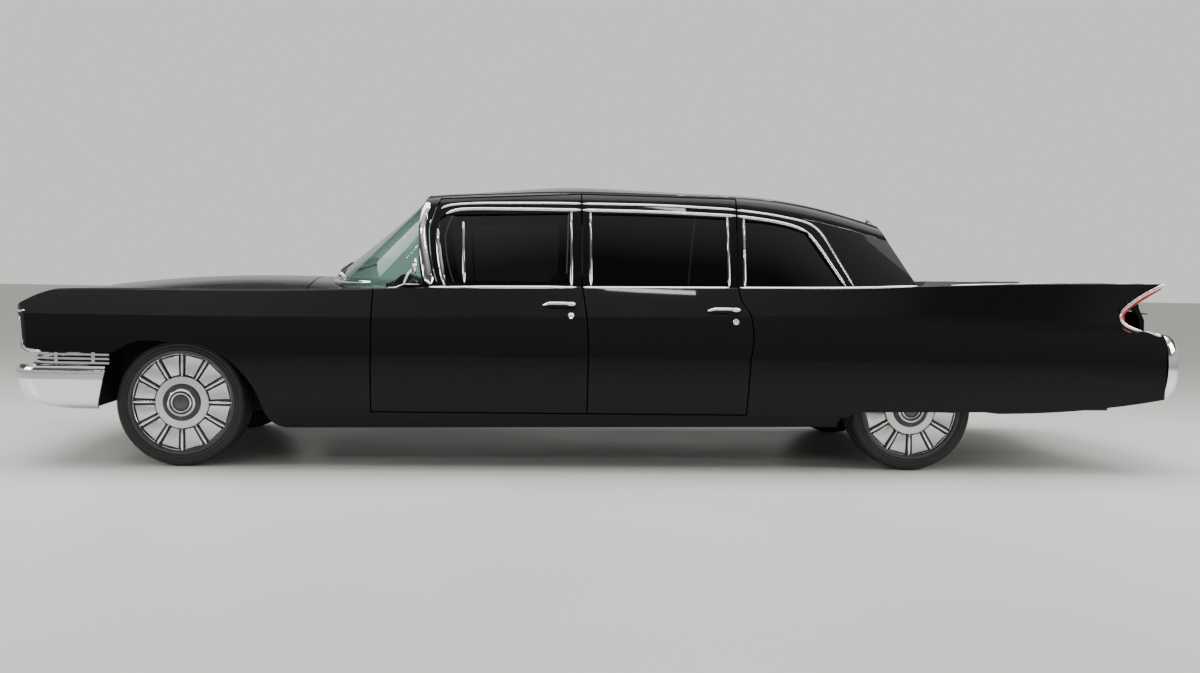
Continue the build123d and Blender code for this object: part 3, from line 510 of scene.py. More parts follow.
def long_moulding(name, line, breaks, half_width, half_height, lift):
    """One moulding down each side, broken at the shut lines."""
    for side_name, side in SIDES:
        for body, node, low, high in breaks:
            holder = body.replace("SIDE", side_name)
            tree = skin_of(node.replace("SIDE", side_name))
            moulding(f"{name}_{holder}_{side_name}_{low}", tree, cut_line(line, low, high), side,
                     half_width, half_height, lift, holder, strict=True)


DOOR_SPANS = (
    ("door_front_SIDE", "door_front_SIDE", 1306, SHUTS["B"]["drip"] - GAP),
    ("door_rear_SIDE", "door_rear_SIDE", SHUTS["B"]["drip"] + GAP, SHUTS["C"]["drip"] - GAP),
    ("body", "roof", SHUTS["C"]["drip"] + GAP, 3246),
)
long_moulding("window_reveal", REVEAL, DOOR_SPANS, 0.0085, 0.005, 0.001)
long_moulding("drip_rail", DRIP, (
    ("body", "roof", 1275, 1292),
    ("door_front_SIDE", "door_front_SIDE", 1300, SHUTS["B"]["drip"] - GAP),
    ("door_rear_SIDE", "door_rear_SIDE", SHUTS["B"]["drip"] + GAP, SHUTS["C"]["drip"] - GAP),
    ("body", "roof", SHUTS["C"]["drip"] + GAP, 3472),
), 0.0065, 0.0075, 0.002)
long_moulding("belt_line", BELT, (
    ("door_front_SIDE", "door_front_SIDE", 1250, SHUTS["B"]["belt"] - GAP),
    ("door_rear_SIDE", "door_rear_SIDE", SHUTS["B"]["belt"] + GAP, SHUTS["C"]["belt"] - GAP),
    ("body", "quarter_panel_SIDE", SHUTS["C"]["belt"] + GAP, 3800),
), 0.008, 0.0045, 0.001)
print("long mouldings done")

# %% [markdown]
# The upright trim. A broad bright cover hides the windscreen pillar, and it bends back over the door's
# corner into the drip rail. Inside it, a narrower frame goes round the vent window. Thin bars stand at the
# ends of each pane. They are the same moulding again, with other widths.

# %% Pillar covers and window bars
PILLAR = ((1256, 936), (1240, 1000), (1222, 1090), (1208, 1180), (1203, 1250), (1212, 1310), (1229, 1370),
          (1240, 1420))
VENT_FRAME = ((1328, 950), (1312, 1020), (1296, 1110), (1286, 1200), (1288, 1262), (1306, 1302))
VENT_BAR = ((1428, 962), (1420, 1150), (1413, 1330))
UPRIGHTS = (
    # body, node, line, half width
    ("door_front_SIDE", "door_front_SIDE", ((1981, 958), (1981, 1344)), 0.006),
    ("door_rear_SIDE", "door_rear_SIDE", ((2082, 960), (2082, 1345)), 0.006),
    ("door_rear_SIDE", "door_rear_SIDE", ((2806, 966), (2811, 1334)), 0.006),
    ("body", "roof", ((2889, 968), (2900, 1326)), 0.006),
    ("body", "roof", ((3246, 1262), (3300, 1190), (3372, 1072), (3430, 976)), 0.007),
)
for side_name, side in SIDES:
    door = f"door_front_{side_name}"
    tree = skin_of("roof", "cowl")
    moulding(f"pillar_cover_{side_name}", tree, PILLAR, side, 0.025, 0.009, 0.002, "body", end_width=0.017)
    moulding(f"vent_frame_{side_name}", skin_of(door), VENT_FRAME, side, 0.0125, 0.006, 0.001, door,
             end_width=0.0085)
    for body, node, line, half_width in UPRIGHTS:
        holder = body.replace("SIDE", side_name)
        tree = skin_of(node.replace("SIDE", side_name))
        moulding(f"window_bar_{side_name}_{line[0][0]}", tree, line, side, half_width, 0.004, 0.001, holder)
    tree = skin_of(f"door_glass_front_{side_name}")
    moulding(f"vent_bar_{side_name}", tree, VENT_BAR, side, 0.009, 0.01, 0.001, door)
print("upright trim done")

# %% [markdown]
# Along the top of the fin runs a hair-thin bright edge, and a bright line outlines the V notch at its end.
# Round its apex a black strip of body paint covers the outer part of the lens. It is painted shadow that
# stands in for the dark gap there. On the nose a short bright strip caps the brow, and a wider one edges
# the front of the fender round the lamps.

# %% Edges of fins, notch and brow
FIN_EDGE = ((3985, 997), (4200, 1004), (4460, 1012), (4700, 1019), (4900, 1023), (5040, 1024), (5150, 1023))
NOTCH_EDGE = ((5156, 1020), (5100, 992), (5046, 966), (4990, 932), (4936, 894), (4906, 866), (4898, 836),
              (4914, 806), (4956, 784), (5010, 768), (5080, 757), (5128, 742))


def offset_line(line, distance):
    """The same line moved to its left by a distance, in millimetres, as it is walked."""
    moved = []
    for index, (x, z) in enumerate(line):
        before, after = line[max(index - 1, 0)], line[min(index + 1, len(line) - 1)]
        dx, dz = after[0] - before[0], after[1] - before[1]
        length = math.hypot(dx, dz)
        moved.append((x + dz / length * distance, z - dx / length * distance))
    return moved


# The strip offset outward round the notch's apex is painted shadow of the gap.
NOTCH_SHADOW_STRIP = offset_line(NOTCH_EDGE[3:10], 13)
BROW = ((-797, 788), (-770, 789), (-735, 790))
FENDER_LIP = ((-765, 758), (-757, 700), (-750, 645), (-735, 608), (-700, 594), (-650, 590))
for side_name, side in SIDES:
    quarter_tree = skin_of(f"quarter_panel_{side_name}")
    net = bmesh.new()
    level_line = smooth_line([(back(x), side * 0.925, z / 1000) for x, z in FIN_EDGE], 0.05)
    found = [on_top(quarter_tree, p.x, p.y) for p in level_line]
    sweep(net, [hit for hit, _ in found], [normal for _, normal in found], 0.005, 0.0025)
    piece_from(f"fin_edge_{side_name}", net, chrome, "body")
    tree = skin_of(f"quarter_panel_{side_name}", "tail_lamps")
    moulding(f"notch_edge_{side_name}", tree, NOTCH_EDGE, side, 0.0075, 0.005, 0.001, "body", step=0.02)
    # Body paint over the lens's outer edge: painted shadow of the gap round the apex.
    moulding(f"notch_painted_shadow_{side_name}", tree, NOTCH_SHADOW_STRIP, side, 0.008, 0.003, 0.0005, "body", paint,
             step=0.02)
    tree = skin_of(f"front_fender_{side_name}")
    moulding(f"brow_strip_{side_name}", tree, BROW, side, 0.005, 0.003, 0.0, "body", step=0.01)
    moulding(f"fender_lip_{side_name}", tree, FENDER_LIP, side, 0.006, 0.004, 0.0, "body", step=0.015)
print("edges done")

# %% [markdown]
# Door handles of this kind are a slender pull bar on two feet, with a heavier end over a round push button.
# The bar is a sweep that stands off the door, and the button is a profile spun about its own axis.

# %% Door handles


def spun(net, profile, centre, axis, steps=32):
    """Spin a profile of (radius, height) points, in millimetres, about an axis through the centre."""
    axis = Vector(axis).normalized()
    across = axis.orthogonal().normalized()
    verts = [
        net.verts.new(Vector(centre) + across * max(r / 1000, 1e-5) + axis * (h / 1000)) for r, h in profile
    ]
    edges = [net.edges.new(pair) for pair in zip(verts, verts[1:])]
    bmesh.ops.spin(
        net, geom=verts + edges, cent=centre, axis=axis, angle=math.tau, steps=steps, use_merge=True
    )
    bmesh.ops.remove_doubles(net, verts=net.verts, dist=2e-5)


HANDLES = (("front", 1832, 1992, 856, 803), ("rear", 2681, 2842, 839, 786))
BUTTON = ((0, 14), (9, 13.5), (12, 11), (12.5, 7), (16, 6), (17, 2), (17, -4), (0, -4))
for side_name, side in SIDES:
    for row, x0, x1, bar_z, button_z in HANDLES:
        door = f"door_{row}_{side_name}"
        tree = skin_of(door)
        flat = smooth_line([(back(x), 0, bar_z / 1000) for x in (x0, (x0 + x1) / 2, x1)], 0.016)
        found = [on_side(tree, p.x, p.z, side) for p in flat]
        count = len(found) - 1
        rise = [0.025 * min(1, 4 * min(i, count - i) / count + 0.15) for i in range(count + 1)]
        net = bmesh.new()
        bar = [hit + n * up_by for (hit, n), up_by in zip(found, rise)]
        sweep(net, bar, [n for _, n in found], 0.0075, 0.005)
        end, outward = found[-2]
        heel = Matrix.Translation(end + outward * 0.016) @ Matrix.Diagonal((0.026, 0.018, 0.013, 1))
        bmesh.ops.create_uvsphere(net, u_segments=20, v_segments=12, radius=1, matrix=heel)
        centre, facing = on_side(tree, back(x1 - 16), button_z / 1000, side)
        spun(net, BUTTON, centre, facing)
        piece_from(f"door_handle_{row}_{side_name}", net, chrome, door)
print("handles done")

# %% [markdown]
# The outside mirror is a long foot on the door's crest, a raked stalk, and a round head whose glass faces
# back. The head is a shallow bowl, spun from its section, with the glass set just inside the rim.

# %% Outside mirrors
BOWL = ((0, -20), (18, -18), (36, -11), (45, -2), (47, 3), (45, 6), (42, 4), (41, 1), (0, 1))
for side_name, side in SIDES:
    door = f"door_front_{side_name}"
    tree = skin_of(door)
    net = bmesh.new()
    feet = [on_top(tree, back(x), side * 0.905) for x in (1040, 1080, 1120, 1160, 1204)]
    sweep(net, [hit for hit, _ in feet], [n for _, n in feet], 0.011, 0.0045)
    base = feet[2][0]
    head = base + Vector((0.058, side * 0.034, 0.092))
    stalk = smooth_line([base, base + Vector((0.02, side * 0.012, 0.048)), head], 0.012)
    sweep(net, stalk, [Vector((0, side, 0.1))] * len(stalk), 0.0065, 0.005)
    spun(net, BOWL, head, (1, -side * 0.12, -0.05), 36)
    piece_from(f"door_mirror_{side_name}", net, chrome, door)
print("mirrors done")

# %% [markdown]
# The tyre in the CAD model is smooth, so a detailed one takes its place. Its section is spun round the
# axle: a bead, a rib that guards the rim, two fine rings on the sidewall, a rounded shoulder and four deep
# grooves in the tread. Then every third face of the shoulder rows is pushed in, which gives the cross cuts
# between tread blocks.

# %% Tyres
WHEEL_Y, AXLE_Z = 0.7745, 0.328
AXLES = (("front", back(0)), ("rear", back(3804)))
WHEELS = [
    (f"{axle}_{side_name}", f"{axle}_wheel_{side_name}", side, Vector((x, side * WHEEL_Y, AXLE_Z)))
    for axle, x in AXLES for side_name, side in SIDES
]
SIDEWALL = ((256, 90), (262, 99), (270, 106), (278, 109), (281, 112.2), (286, 112.2), (289, 110),
            (297, 111.2), (299, 112.2), (302, 111.2), (308, 109.6), (310, 110.6), (312, 109), (318, 103),
            (323.2, 95), (325.8, 86))
TREAD = ((326.4, 70), (320, 69), (320, 62), (327.2, 61), (327.8, 25), (320.5, 24), (320.5, 16), (327.8, 15))
HALF_SECTION = (*SIDEWALL, *TREAD)
SECTION = (*HALF_SECTION, *((r, -h) for r, h in reversed(HALF_SECTION)), HALF_SECTION[0])
TREAD_STEPS = 192
for wheel, body, side, hub in WHEELS:
    net = bmesh.new()
    spun(net, SECTION, hub, (0, side, 0), TREAD_STEPS)
    blocks = []
    for face in net.faces:
        place = face.calc_center_median() - hub
        turn = math.atan2(place.z, place.x) / math.tau * TREAD_STEPS
        if 0.071 < abs(place.y) < 0.094 and round(turn + 0.5) % 3 == 0:
            blocks.append(face)
    bmesh.ops.inset_individual(net, faces=blocks, thickness=0.0012, depth=-0.0045)
    tyre = piece_from(f"treaded_tyre_{wheel}", net, rubber, body, 35)
    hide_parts(f"tyre_{wheel}")
print("tyres", len(WHEELS), "sipes on each", len(blocks))

# %% [markdown]
# The wheel is a disc in two textures: twelve satin plates, each with a soft bevel, and between them narrow
# polished ridges that catch the light. A flat satin ring joins the plates to the hub, five bolt wells in
# the raised boss are dark discs of painted shade, and a plain dark cap closes the middle. Each plate is one
# block, tapered by moving its corners.

# %% Wheel faces
SPOKES = 12
PLATE_IN, PLATE_OUT, PLATE_HALF_IN, PLATE_HALF_OUT = 0.139, 0.2365, 0.0215, 0.0445
PLATE_BACK, PLATE_FACE = 0.074, 0.085
RIDGE_RADII, RIDGE_DEPTH = (0.133, 0.16, 0.2, 0.23, 0.247), 0.0905
satin = Finish("satin_alloy", Base_Color=(0.66, 0.66, 0.655, 1), Metallic=1.0, Roughness=0.3)
brushing = satin.noise(340, 2.0, (1, 0.1, 1))
satin.rough(brushing, 0.24, 0.38)
satin.bump(brushing, 0.0002, 0.5)
# Dark enamel for the cap. The same dark finish on the bolt wells is painted shade of their recesses.
cap_enamel_and_well_shade = Finish("cap_enamel_and_well_shade", Base_Color=(0.03, 0.034, 0.038, 1), Roughness=0.3, Coat_Weight=0.8)
specks = cap_enamel_and_well_shade.noise(500, 2.0)
cap_enamel_and_well_shade.tint(specks, (0.022, 0.026, 0.03), (0.045, 0.05, 0.055))
HUB_RING = ((93, 76), (93, 92), (96, 94.8), (131, 93.8), (135, 90), (135, 76), (93, 76))
BOSS_RING = ((58, 105), (60, 111.5), (66, 112.2), (70, 109.5), (70, 104), (58, 105))
CAP_RING = ((42, 108), (44, 112), (48, 112.2), (51, 109.5), (51, 101), (42, 108))
RIM_BEAD = ((244, 86), (247, 90.5), (251, 91.5), (254, 88), (254, 84), (244, 86))
CAP = ((0, 111.8), (20, 111.4), (34, 110.4), (41.5, 108.5), (41.5, 104), (0, 104))
WELL = ((0, 106.8), (5.5, 106.6), (7.5, 105.6), (7.5, 102), (0, 102))
BOLT_WELLS, WELL_R = 5, 0.081
for wheel, body, side, hub in WHEELS:
    out = Vector((0, side, 0))
    plates, ridges, wells = bmesh.new(), bmesh.new(), bmesh.new()
    for index in range(SPOKES):
        turn = Matrix.Rotation(math.radians(15 + index * 360 / SPOKES), 4, "Y")
        corners = bmesh.ops.create_cube(plates, size=2)["verts"]
        for corner in corners:
            outer = (corner.co.x + 1) / 2
            half = PLATE_HALF_IN + (PLATE_HALF_OUT - PLATE_HALF_IN) * outer
            depth = PLATE_FACE if corner.co.y > 0 else PLATE_BACK
            flat = Vector((PLATE_IN + (PLATE_OUT - PLATE_IN) * outer, 0, corner.co.z * half))
            corner.co = hub + turn @ flat + out * depth
        soften(plates, edges_of(corners), 0.0035, 2)
        spoke = Matrix.Rotation(math.radians(index * 360 / SPOKES), 4, "Y")
        line = [hub + spoke @ Vector((r, 0, 0)) + out * RIDGE_DEPTH for r in RIDGE_RADII]
        sweep(ridges, line, [out] * len(line), 0.0055, 0.0045, 8, end_width=0.0075)
    spun(plates, HUB_RING, hub, out, 72)
    for profile in (BOSS_RING, CAP_RING, RIM_BEAD):
        spun(ridges, profile, hub, out, 72)
    # Each bolt well is a flat dark disc: painted shade of the recess.
    for index in range(BOLT_WELLS):
        spoke = Matrix.Rotation(math.radians(18 + index * 360 / BOLT_WELLS), 4, "Y")
        centre = hub + spoke @ Vector((WELL_R, 0, 0))
        spun(wells, WELL, centre, out, 16)
    spun(wells, CAP, hub, out, 48)
    piece_from(f"wheel_plates_{wheel}", plates, satin, body)
    piece_from(f"wheel_ridges_{wheel}", ridges, chrome, body)
    piece_from(f"wheel_cap_and_well_shades_{wheel}", wells, cap_enamel_and_well_shade, body)
print("wheel faces done")

# %% [markdown]
# The front is a chromed grid with a small bullet at each crossing. A bullet repeats two hundred times, so
# it is an icosphere of only eighty faces, stretched forward. Round each lamp sits a rolled rim, and behind
# its lens a bright bowl, spun like the rim.

# %% Grille bullets and headlamps
GRILLE_HALF, GRILLE_LOW, GRILLE_HIGH, GRILLE_FACE = 0.452, 0.512, 0.796, back(-790)
ROWS, COLUMNS = 10, 24
net = bmesh.new()
for row in range(1, ROWS):
    for column in range(1, COLUMNS):
        place = Vector((
            GRILLE_FACE + 0.006,
            -GRILLE_HALF + column * 2 * GRILLE_HALF / COLUMNS,
            GRILLE_LOW + row * (GRILLE_HIGH - GRILLE_LOW) / ROWS,
        ))
        bullet = Matrix.Translation(place) @ Matrix.Diagonal((0.0078, 0.0066, 0.0066, 1))
        bmesh.ops.create_icosphere(net, subdivisions=1, radius=1, matrix=bullet)
piece_from("grille_bullets", net, chrome, "body", 60)

LAMP_Y, LAMP_Z, LAMP_FACE = (-0.812, -0.552, 0.552, 0.812), 0.684, back(-776)
FORWARD = Vector((-1, 0, 0))
RIM = ((71.5, -4), (71.5, 3), (74.5, 6.5), (79, 6), (82, 2), (82, -4), (71.5, -4))
REFLECTOR = ((10, -60), (30, -58), (50, -51), (64, -40), (69, -30), (70.5, -30), (70.5, -60.5), (10, -60.5),
             (10, -60))
rims, bowls = bmesh.new(), bmesh.new()
for y in LAMP_Y:
    centre = Vector((LAMP_FACE, y, LAMP_Z))
    spun(rims, RIM, centre, FORWARD, 48)
    spun(bowls, REFLECTOR, centre, FORWARD, 40)
piece_from("lamp_rims", rims, chrome, "body")
piece_from("lamp_reflectors", bowls, chrome, "body")
print("grille and lamps done")

# %% [markdown]
# At the back, each oval pod holds a red lamp over a clear one, both domed and rimmed. A blank plate hangs
# on the bracket between them. Its edge is rolled and its four corners are fixed by small screws.

# %% Tail pods and plate
POD_Y, POD_FACE = 0.886, back(5237)
DOME = ((0, 10.5), (18, 9.5), (30, 6.5), (36.5, 2), (36.5, -20), (0, -20))
DOME_RIM = ((36.5, -12), (36.5, 3.5), (39.5, 5.5), (43, 3), (44, -12), (36.5, -12))
REARWARD = Vector((1, 0, 0))
reds, clears, rims = bmesh.new(), bmesh.new(), bmesh.new()
for side_name, side in SIDES:
    for z, lens_net in ((0.628, reds), (0.522, clears)):
        centre = Vector((POD_FACE, side * POD_Y, z))
        spun(lens_net, DOME, centre, REARWARD, 36)
        spun(rims, DOME_RIM, centre, REARWARD, 36)
piece_from("pod_red_lenses", reds, red_lens, "body")
piece_from("pod_clear_lenses", clears, lamp_glass, "body")
piece_from("pod_lens_rims", rims, chrome, "body")

SCREW = ((0, 2.8), (4, 2.4), (6.2, 0.8), (6.2, -2), (0, -2))
PLATE_HALF_WIDTH, PLATE_HALF_HEIGHT, PLATE_Z, PLATE_X = 0.1525, 0.076, 0.672, back(5154)
SCREW_Y, SCREW_Z = 0.089, 0.0605
plate_enamel = Finish("plate_enamel", Base_Color=(0.8, 0.79, 0.74, 1), Roughness=0.35)
plate_wear = plate_enamel.noise(22, 4.0)
plate_enamel.tint(plate_wear, (0.74, 0.73, 0.67), (0.84, 0.83, 0.79))
plate_enamel.rough(plate_wear, 0.25, 0.5)
net = bmesh.new()
size = Matrix.Diagonal((0.001, PLATE_HALF_WIDTH, PLATE_HALF_HEIGHT, 1))
bmesh.ops.create_cube(net, size=2, matrix=Matrix.Translation((PLATE_X + 0.0015, 0, PLATE_Z)) @ size)
upright = [e for e in net.edges if abs((e.verts[0].co - e.verts[1].co).x) > 0.001]
soften(net, upright, 0.012)
face = max(net.faces, key=lambda f: f.calc_center_median().x)
bmesh.ops.inset_region(net, faces=[face], thickness=0.004, depth=0.0)
bmesh.ops.inset_region(net, faces=[face], thickness=0.002, depth=-0.0008)
piece_from("blank_plate", net, plate_enamel, "body", 30)
net = bmesh.new()
for side_name, side in SIDES:
    for height in (-SCREW_Z, SCREW_Z):
        centre = Vector((PLATE_X + 0.0025, side * SCREW_Y, PLATE_Z + height))
        spun(net, SCREW, centre, REARWARD, 16)
piece_from("plate_screws", net, chrome, "body")
print("tail pods and plate done")

# %% [markdown]
# The seats are benches. Half of each cushion starts as a rounded block, a little smaller than its place. A
# remesh turns it into an even net, and a cloth simulation with pressure inside swells it. No point may move
# further than a cap, nor below the seat's base, past its back or near the other half. One subdivision
# smooths it, and only then are the pleats pressed in, because a seam narrower than a voxel wouldn't outlast
# the remesh. The other half is a mirror image.

# %% Padded seats
VOXEL, SWELL_CAP, SWELL_STEPS, SHRINK, PAD_ROUND = 0.013, 0.024, 20, 0.01, 0.026
PLEAT, PLEAT_HALF, PLEAT_DEPTH, PLAIN_EDGE, HALF_GAP = 0.075, 0.0075, 0.008, 0.07, 0.003
PADS = (
    # name, CAD node, x from and to, y from and to, z from and to, way the sitter's face looks
    ("front_cushion", "front_seat", (back(1496), back(1935)), (-0.026, 0.71), (0.432, 0.575), "Z"),
    ("front_backrest", "front_seat", (back(1925), back(2066)), (-0.026, 0.71), (0.43, 1.045), "X"),
    ("rear_cushion", "rear_seat", (back(2956), back(3306)), (-0.024, 0.6), (0.488, 0.612), "Z"),
    ("rear_backrest", "rear_seat", (back(3296), back(3418)), (-0.024, 0.6), (0.489, 1.065), "X"),
)


def taken_from(piece):
    """The piece's mesh with its modifiers applied."""
    return bpy.data.meshes.new_from_object(piece.evaluated_get(bpy.context.evaluated_depsgraph_get()))


def swollen(piece, start):
    """Run the cloth simulation on a piece. No point moves further than the cap from its start."""
    cloth = piece.modifiers.new("pad", "CLOTH")
    cloth.settings.use_pressure = True
    cloth.settings.uniform_pressure_force = 4
    cloth.settings.effector_weights.gravity = 0
    for step in range(1, SWELL_STEPS + 1):
        bpy.context.scene.frame_set(step)
    result = taken_from(piece)
    moves = [vert.co - first for vert, first in zip(result.vertices, start)]
    drift = sum(moves, Vector()) / len(moves)
    piece.modifiers.remove(cloth)
    bpy.context.scene.frame_set(1)
    return [first + (move - drift) * min(1, SWELL_CAP / max((move - drift).length, 1e-6))
            for first, move in zip(start, moves)]


for name, node, x_span, y_span, z_span, facing in PADS:
    low = Vector((x_span[0], y_span[0], z_span[0]))
    high = Vector((x_span[1], y_span[1], z_span[1]))
    half = (high - low) / 2 - Vector((SHRINK, SHRINK, SHRINK))
    net = bmesh.new()
    rounded_box(net, Matrix.Translation((low + high) / 2), half, PAD_ROUND)
    block = placed(f"{name}_block", mesh_from(f"{name}_block", net))
    remesh = block.modifiers.new("even", "REMESH")
    remesh.mode = "VOXEL"
    remesh.voxel_size = VOXEL
    even_mesh = taken_from(block)
    block.modifiers.remove(remesh)
    block.data = even_mesh
    start = [vert.co.copy() for vert in even_mesh.vertices]
    points = swollen(block, start)
    for vert, point in zip(even_mesh.vertices, points):
        vert.co = (min(point.x, high.x), max(point.y, HALF_GAP), max(point.z, low.z))
    smooth = block.modifiers.new("smooth", "SUBSURF")
    smooth.levels = 1
    smooth.render_levels = 1
    pad_mesh = taken_from(block)
    bpy.data.objects.remove(block)
    middle = (low + high) / 2
    for vert in pad_mesh.vertices:
        on_face = vert.normal.z if facing == "Z" else -vert.normal.x
        length_axis = 0 if facing == "Z" else 2
        from_end = (high - middle)[length_axis] - abs((vert.co - middle)[length_axis])
        from_side = min(vert.co.y - low.y, high.y - vert.co.y)
        if on_face > 0.4 and from_side > PLAIN_EDGE / 2:
            across = (vert.co.y - low.y) / PLEAT
            off = abs(across - round(across)) * PLEAT / PLEAT_HALF
            fade = min(1, max(0, (from_end - PLAIN_EDGE / 2) / PLAIN_EDGE))
            press = PLEAT_DEPTH * math.exp(-off * off) * fade
            vert.co -= vert.normal * press
    for side_name, side in SIDES:
        net = bmesh.new()
        net.from_mesh(pad_mesh)
        if side < 0:
            bmesh.ops.scale(net, vec=(1, -1, 1), verts=net.verts)
        pad = piece_from(f"{name}_{side_name}", net, leather, "body", 60)
        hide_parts(node)
    print(name, "points", len(pad_mesh.vertices))

# %% [markdown]
# The cabin's linings lie on the CAD solids, so each is found by rays. The carpet takes the highest floor
# near each of its points, which carries it over the tunnel. The headliner is the roof's inner skin, lowered
# a little. A door card is the door's inner face moved into the cabin, with an armrest, a bright strip and a
# winder on it.

# %% Carpet, headliner and door cards
cloth_grey = Finish("woven_headliner", Base_Color=(0.045, 0.045, 0.047, 1), Roughness=0.9, Sheen_Weight=0.2)
weave = cloth_grey.bands("X", 160.0)
cloth_grey.tint(weave, (0.036, 0.036, 0.038), (0.055, 0.055, 0.057))
cloth_grey.bump(weave, 0.0006, 0.5)


def lining(name, columns, rows, place_of, thickness, finish, body):
    """A sheet of points over a grid. Where place_of finds nothing, the sheet has a hole."""
    net = bmesh.new()
    made = {}
    for i, column in enumerate(columns):
        for j, row in enumerate(rows):
            place = place_of(column, row)
            if place is not None:
                made[i, j] = net.verts.new(place)
    for i, j in list(made):
        corners = [made.get(key) for key in ((i, j), (i + 1, j), (i + 1, j + 1), (i, j + 1))]
        if None not in corners:
            net.faces.new(corners)
    bmesh.ops.delete(net, geom=[vert for vert in net.verts if not vert.link_faces], context="VERTS")
    bmesh.ops.recalc_face_normals(net, faces=net.faces)
    bmesh.ops.solidify(net, geom=net.faces[:], thickness=thickness)
    return piece_from(name, net, finish, body, 50)


def steps(first, last, step):
    """Evenly spaced values from first to last."""
    count = round((last - first) / step)
    return [first + (last - first) * index / count for index in range(count + 1)]


floor_tree = skin_of("floor_pan")
FLOOR_TOP = 0.8
NEAR_BY = ((0, 0), (0.013, 0), (-0.013, 0), (0, 0.013), (0, -0.013))
SEAT_AREAS = ((back(1530), back(1970), 0.61), (back(2990), back(3460), 0.57))


def floor_under(x, y):
    if any(x0 < x < x1 and abs(y) < half for x0, x1, half in SEAT_AREAS):
        return None
    found = hits(floor_tree, [(x + dx, y + dy, FLOOR_TOP) for dx, dy in NEAR_BY], (0, 0, -1))
    top = max((hit.z for hit, _ in found), default=1)
    return (x, y, top + 0.009) if len(found) == len(NEAR_BY) and top < 0.5 else None


lining("carpet", steps(back(735), back(3410), 0.03), steps(-0.7, 0.7, 0.0125), floor_under, 0.006, carpet,
       "body")

roof_tree = skin_of("roof")


def roof_over(x, y):
    hit = cast(roof_tree, (x, y, 1.15), (0, 0, 1))[0]
    return None if hit is None or hit.z < 1.3 else hit - Vector((0, 0, 0.008))


lining("headliner", steps(-0.9, 1.1, 0.05), steps(-0.6, 0.6, 0.05), roof_over, 0.003, cloth_grey, "body")

DOOR_CARDS = (
    # row, x span, z span, armrest x span, armrest z
    ("front", (back(1110), back(1990)), (0.36, 0.915), (back(1480), back(1880)), 0.7),
    ("rear", (back(2090), back(2790)), (0.36, 0.925), (back(2300), back(2680)), 0.71),
)
WINDER = ((0, 22), (12, 21), (15, 17), (18, 6), (24, 3), (26, 0), (0, 0))
for side_name, side in SIDES:
    inward = Vector((0, -side, 0))
    for row, (x0, x1), (z0, z1), (arm_x0, arm_x1), arm_z in DOOR_CARDS:
        door = f"door_{row}_{side_name}"
        tree = skin_of(door)

        def card_place(x, z):
            hit = cast(tree, (x, 0, z), (0, side, 0))[0]
            return None if hit is None or abs(hit.y) < 0.7 else hit - Vector((0, side * 0.006, 0))

        lining(f"door_card_{row}_{side_name}", steps(x0, x1, 0.035), steps(z0, z1, 0.035), card_place,
               0.004, vinyl, door)
        depth, centre_x = 0.03, (arm_x0 + arm_x1) / 2
        inner = card_place(centre_x, arm_z)
        net = bmesh.new()
        place = Matrix.Translation((centre_x, inner.y - side * (depth - 0.004), arm_z))
        rounded_box(net, place, ((arm_x1 - arm_x0) / 2, depth, 0.022), 0.014)
        piece_from(f"armrest_{row}_{side_name}", net, leather, door)
        net = bmesh.new()
        strip_y, strip_z = inner.y - side * 0.007, arm_z + 0.11
        strip = [Vector((x, strip_y, strip_z)) for x in steps(x0 + 0.06, x1 - 0.06, 0.05)]
        sweep(net, strip, [inward] * len(strip), 0.008, 0.003)
        winder = Vector((arm_x0 + 0.02, inner.y - side * 0.006, arm_z - 0.07))
        spun(net, WINDER, winder, inward, 24)
        arm = [winder + inward * 0.017, winder + inward * 0.022 + Vector((0.055, 0, -0.018))]
        sweep(net, arm, [inward] * 2, 0.008, 0.004)
        piece_from(f"door_fittings_{row}_{side_name}", net, chrome, door)
print("linings and door cards done")

# %% [markdown]
# The driver's place: a bright horn ring and a hub on the wheel, two dials and a row of knobs on the
# dashboard, a mirror inside the windscreen and two padded visors. Outside, two wipers lie on the glass.

# %% Dashboard, visors and wipers
WHEEL_AXIS = Vector((470, 0, 260)).normalized()
WHEEL_AT = Vector((back(1290), -0.4, 0.9)) + WHEEL_AXIS * 0.04
HORN_R, HORN_WIRE, RING_STEPS = 0.145, 0.0042, 48
HORN_HUB = ((0, 40), (20, 38), (34, 30), (40, 18), (42, 6), (0, 6))
net = bmesh.new()
across = Vector((0, 1, 0))
upwards = WHEEL_AXIS.cross(across).normalized()
ring_line = []
for index in range(RING_STEPS + 1):
    angle = math.radians(-200 + 220 * index / RING_STEPS)
    spoke = across * math.cos(angle) + upwards * math.sin(angle)
    ring_line.append(WHEEL_AT + spoke * HORN_R + WHEEL_AXIS * 0.012)
sweep(net, ring_line, [WHEEL_AXIS] * len(ring_line), HORN_WIRE, HORN_WIRE, 8)
spun(net, HORN_HUB, WHEEL_AT, WHEEL_AXIS)
piece_from("horn_ring", net, chrome, "steering_wheel")

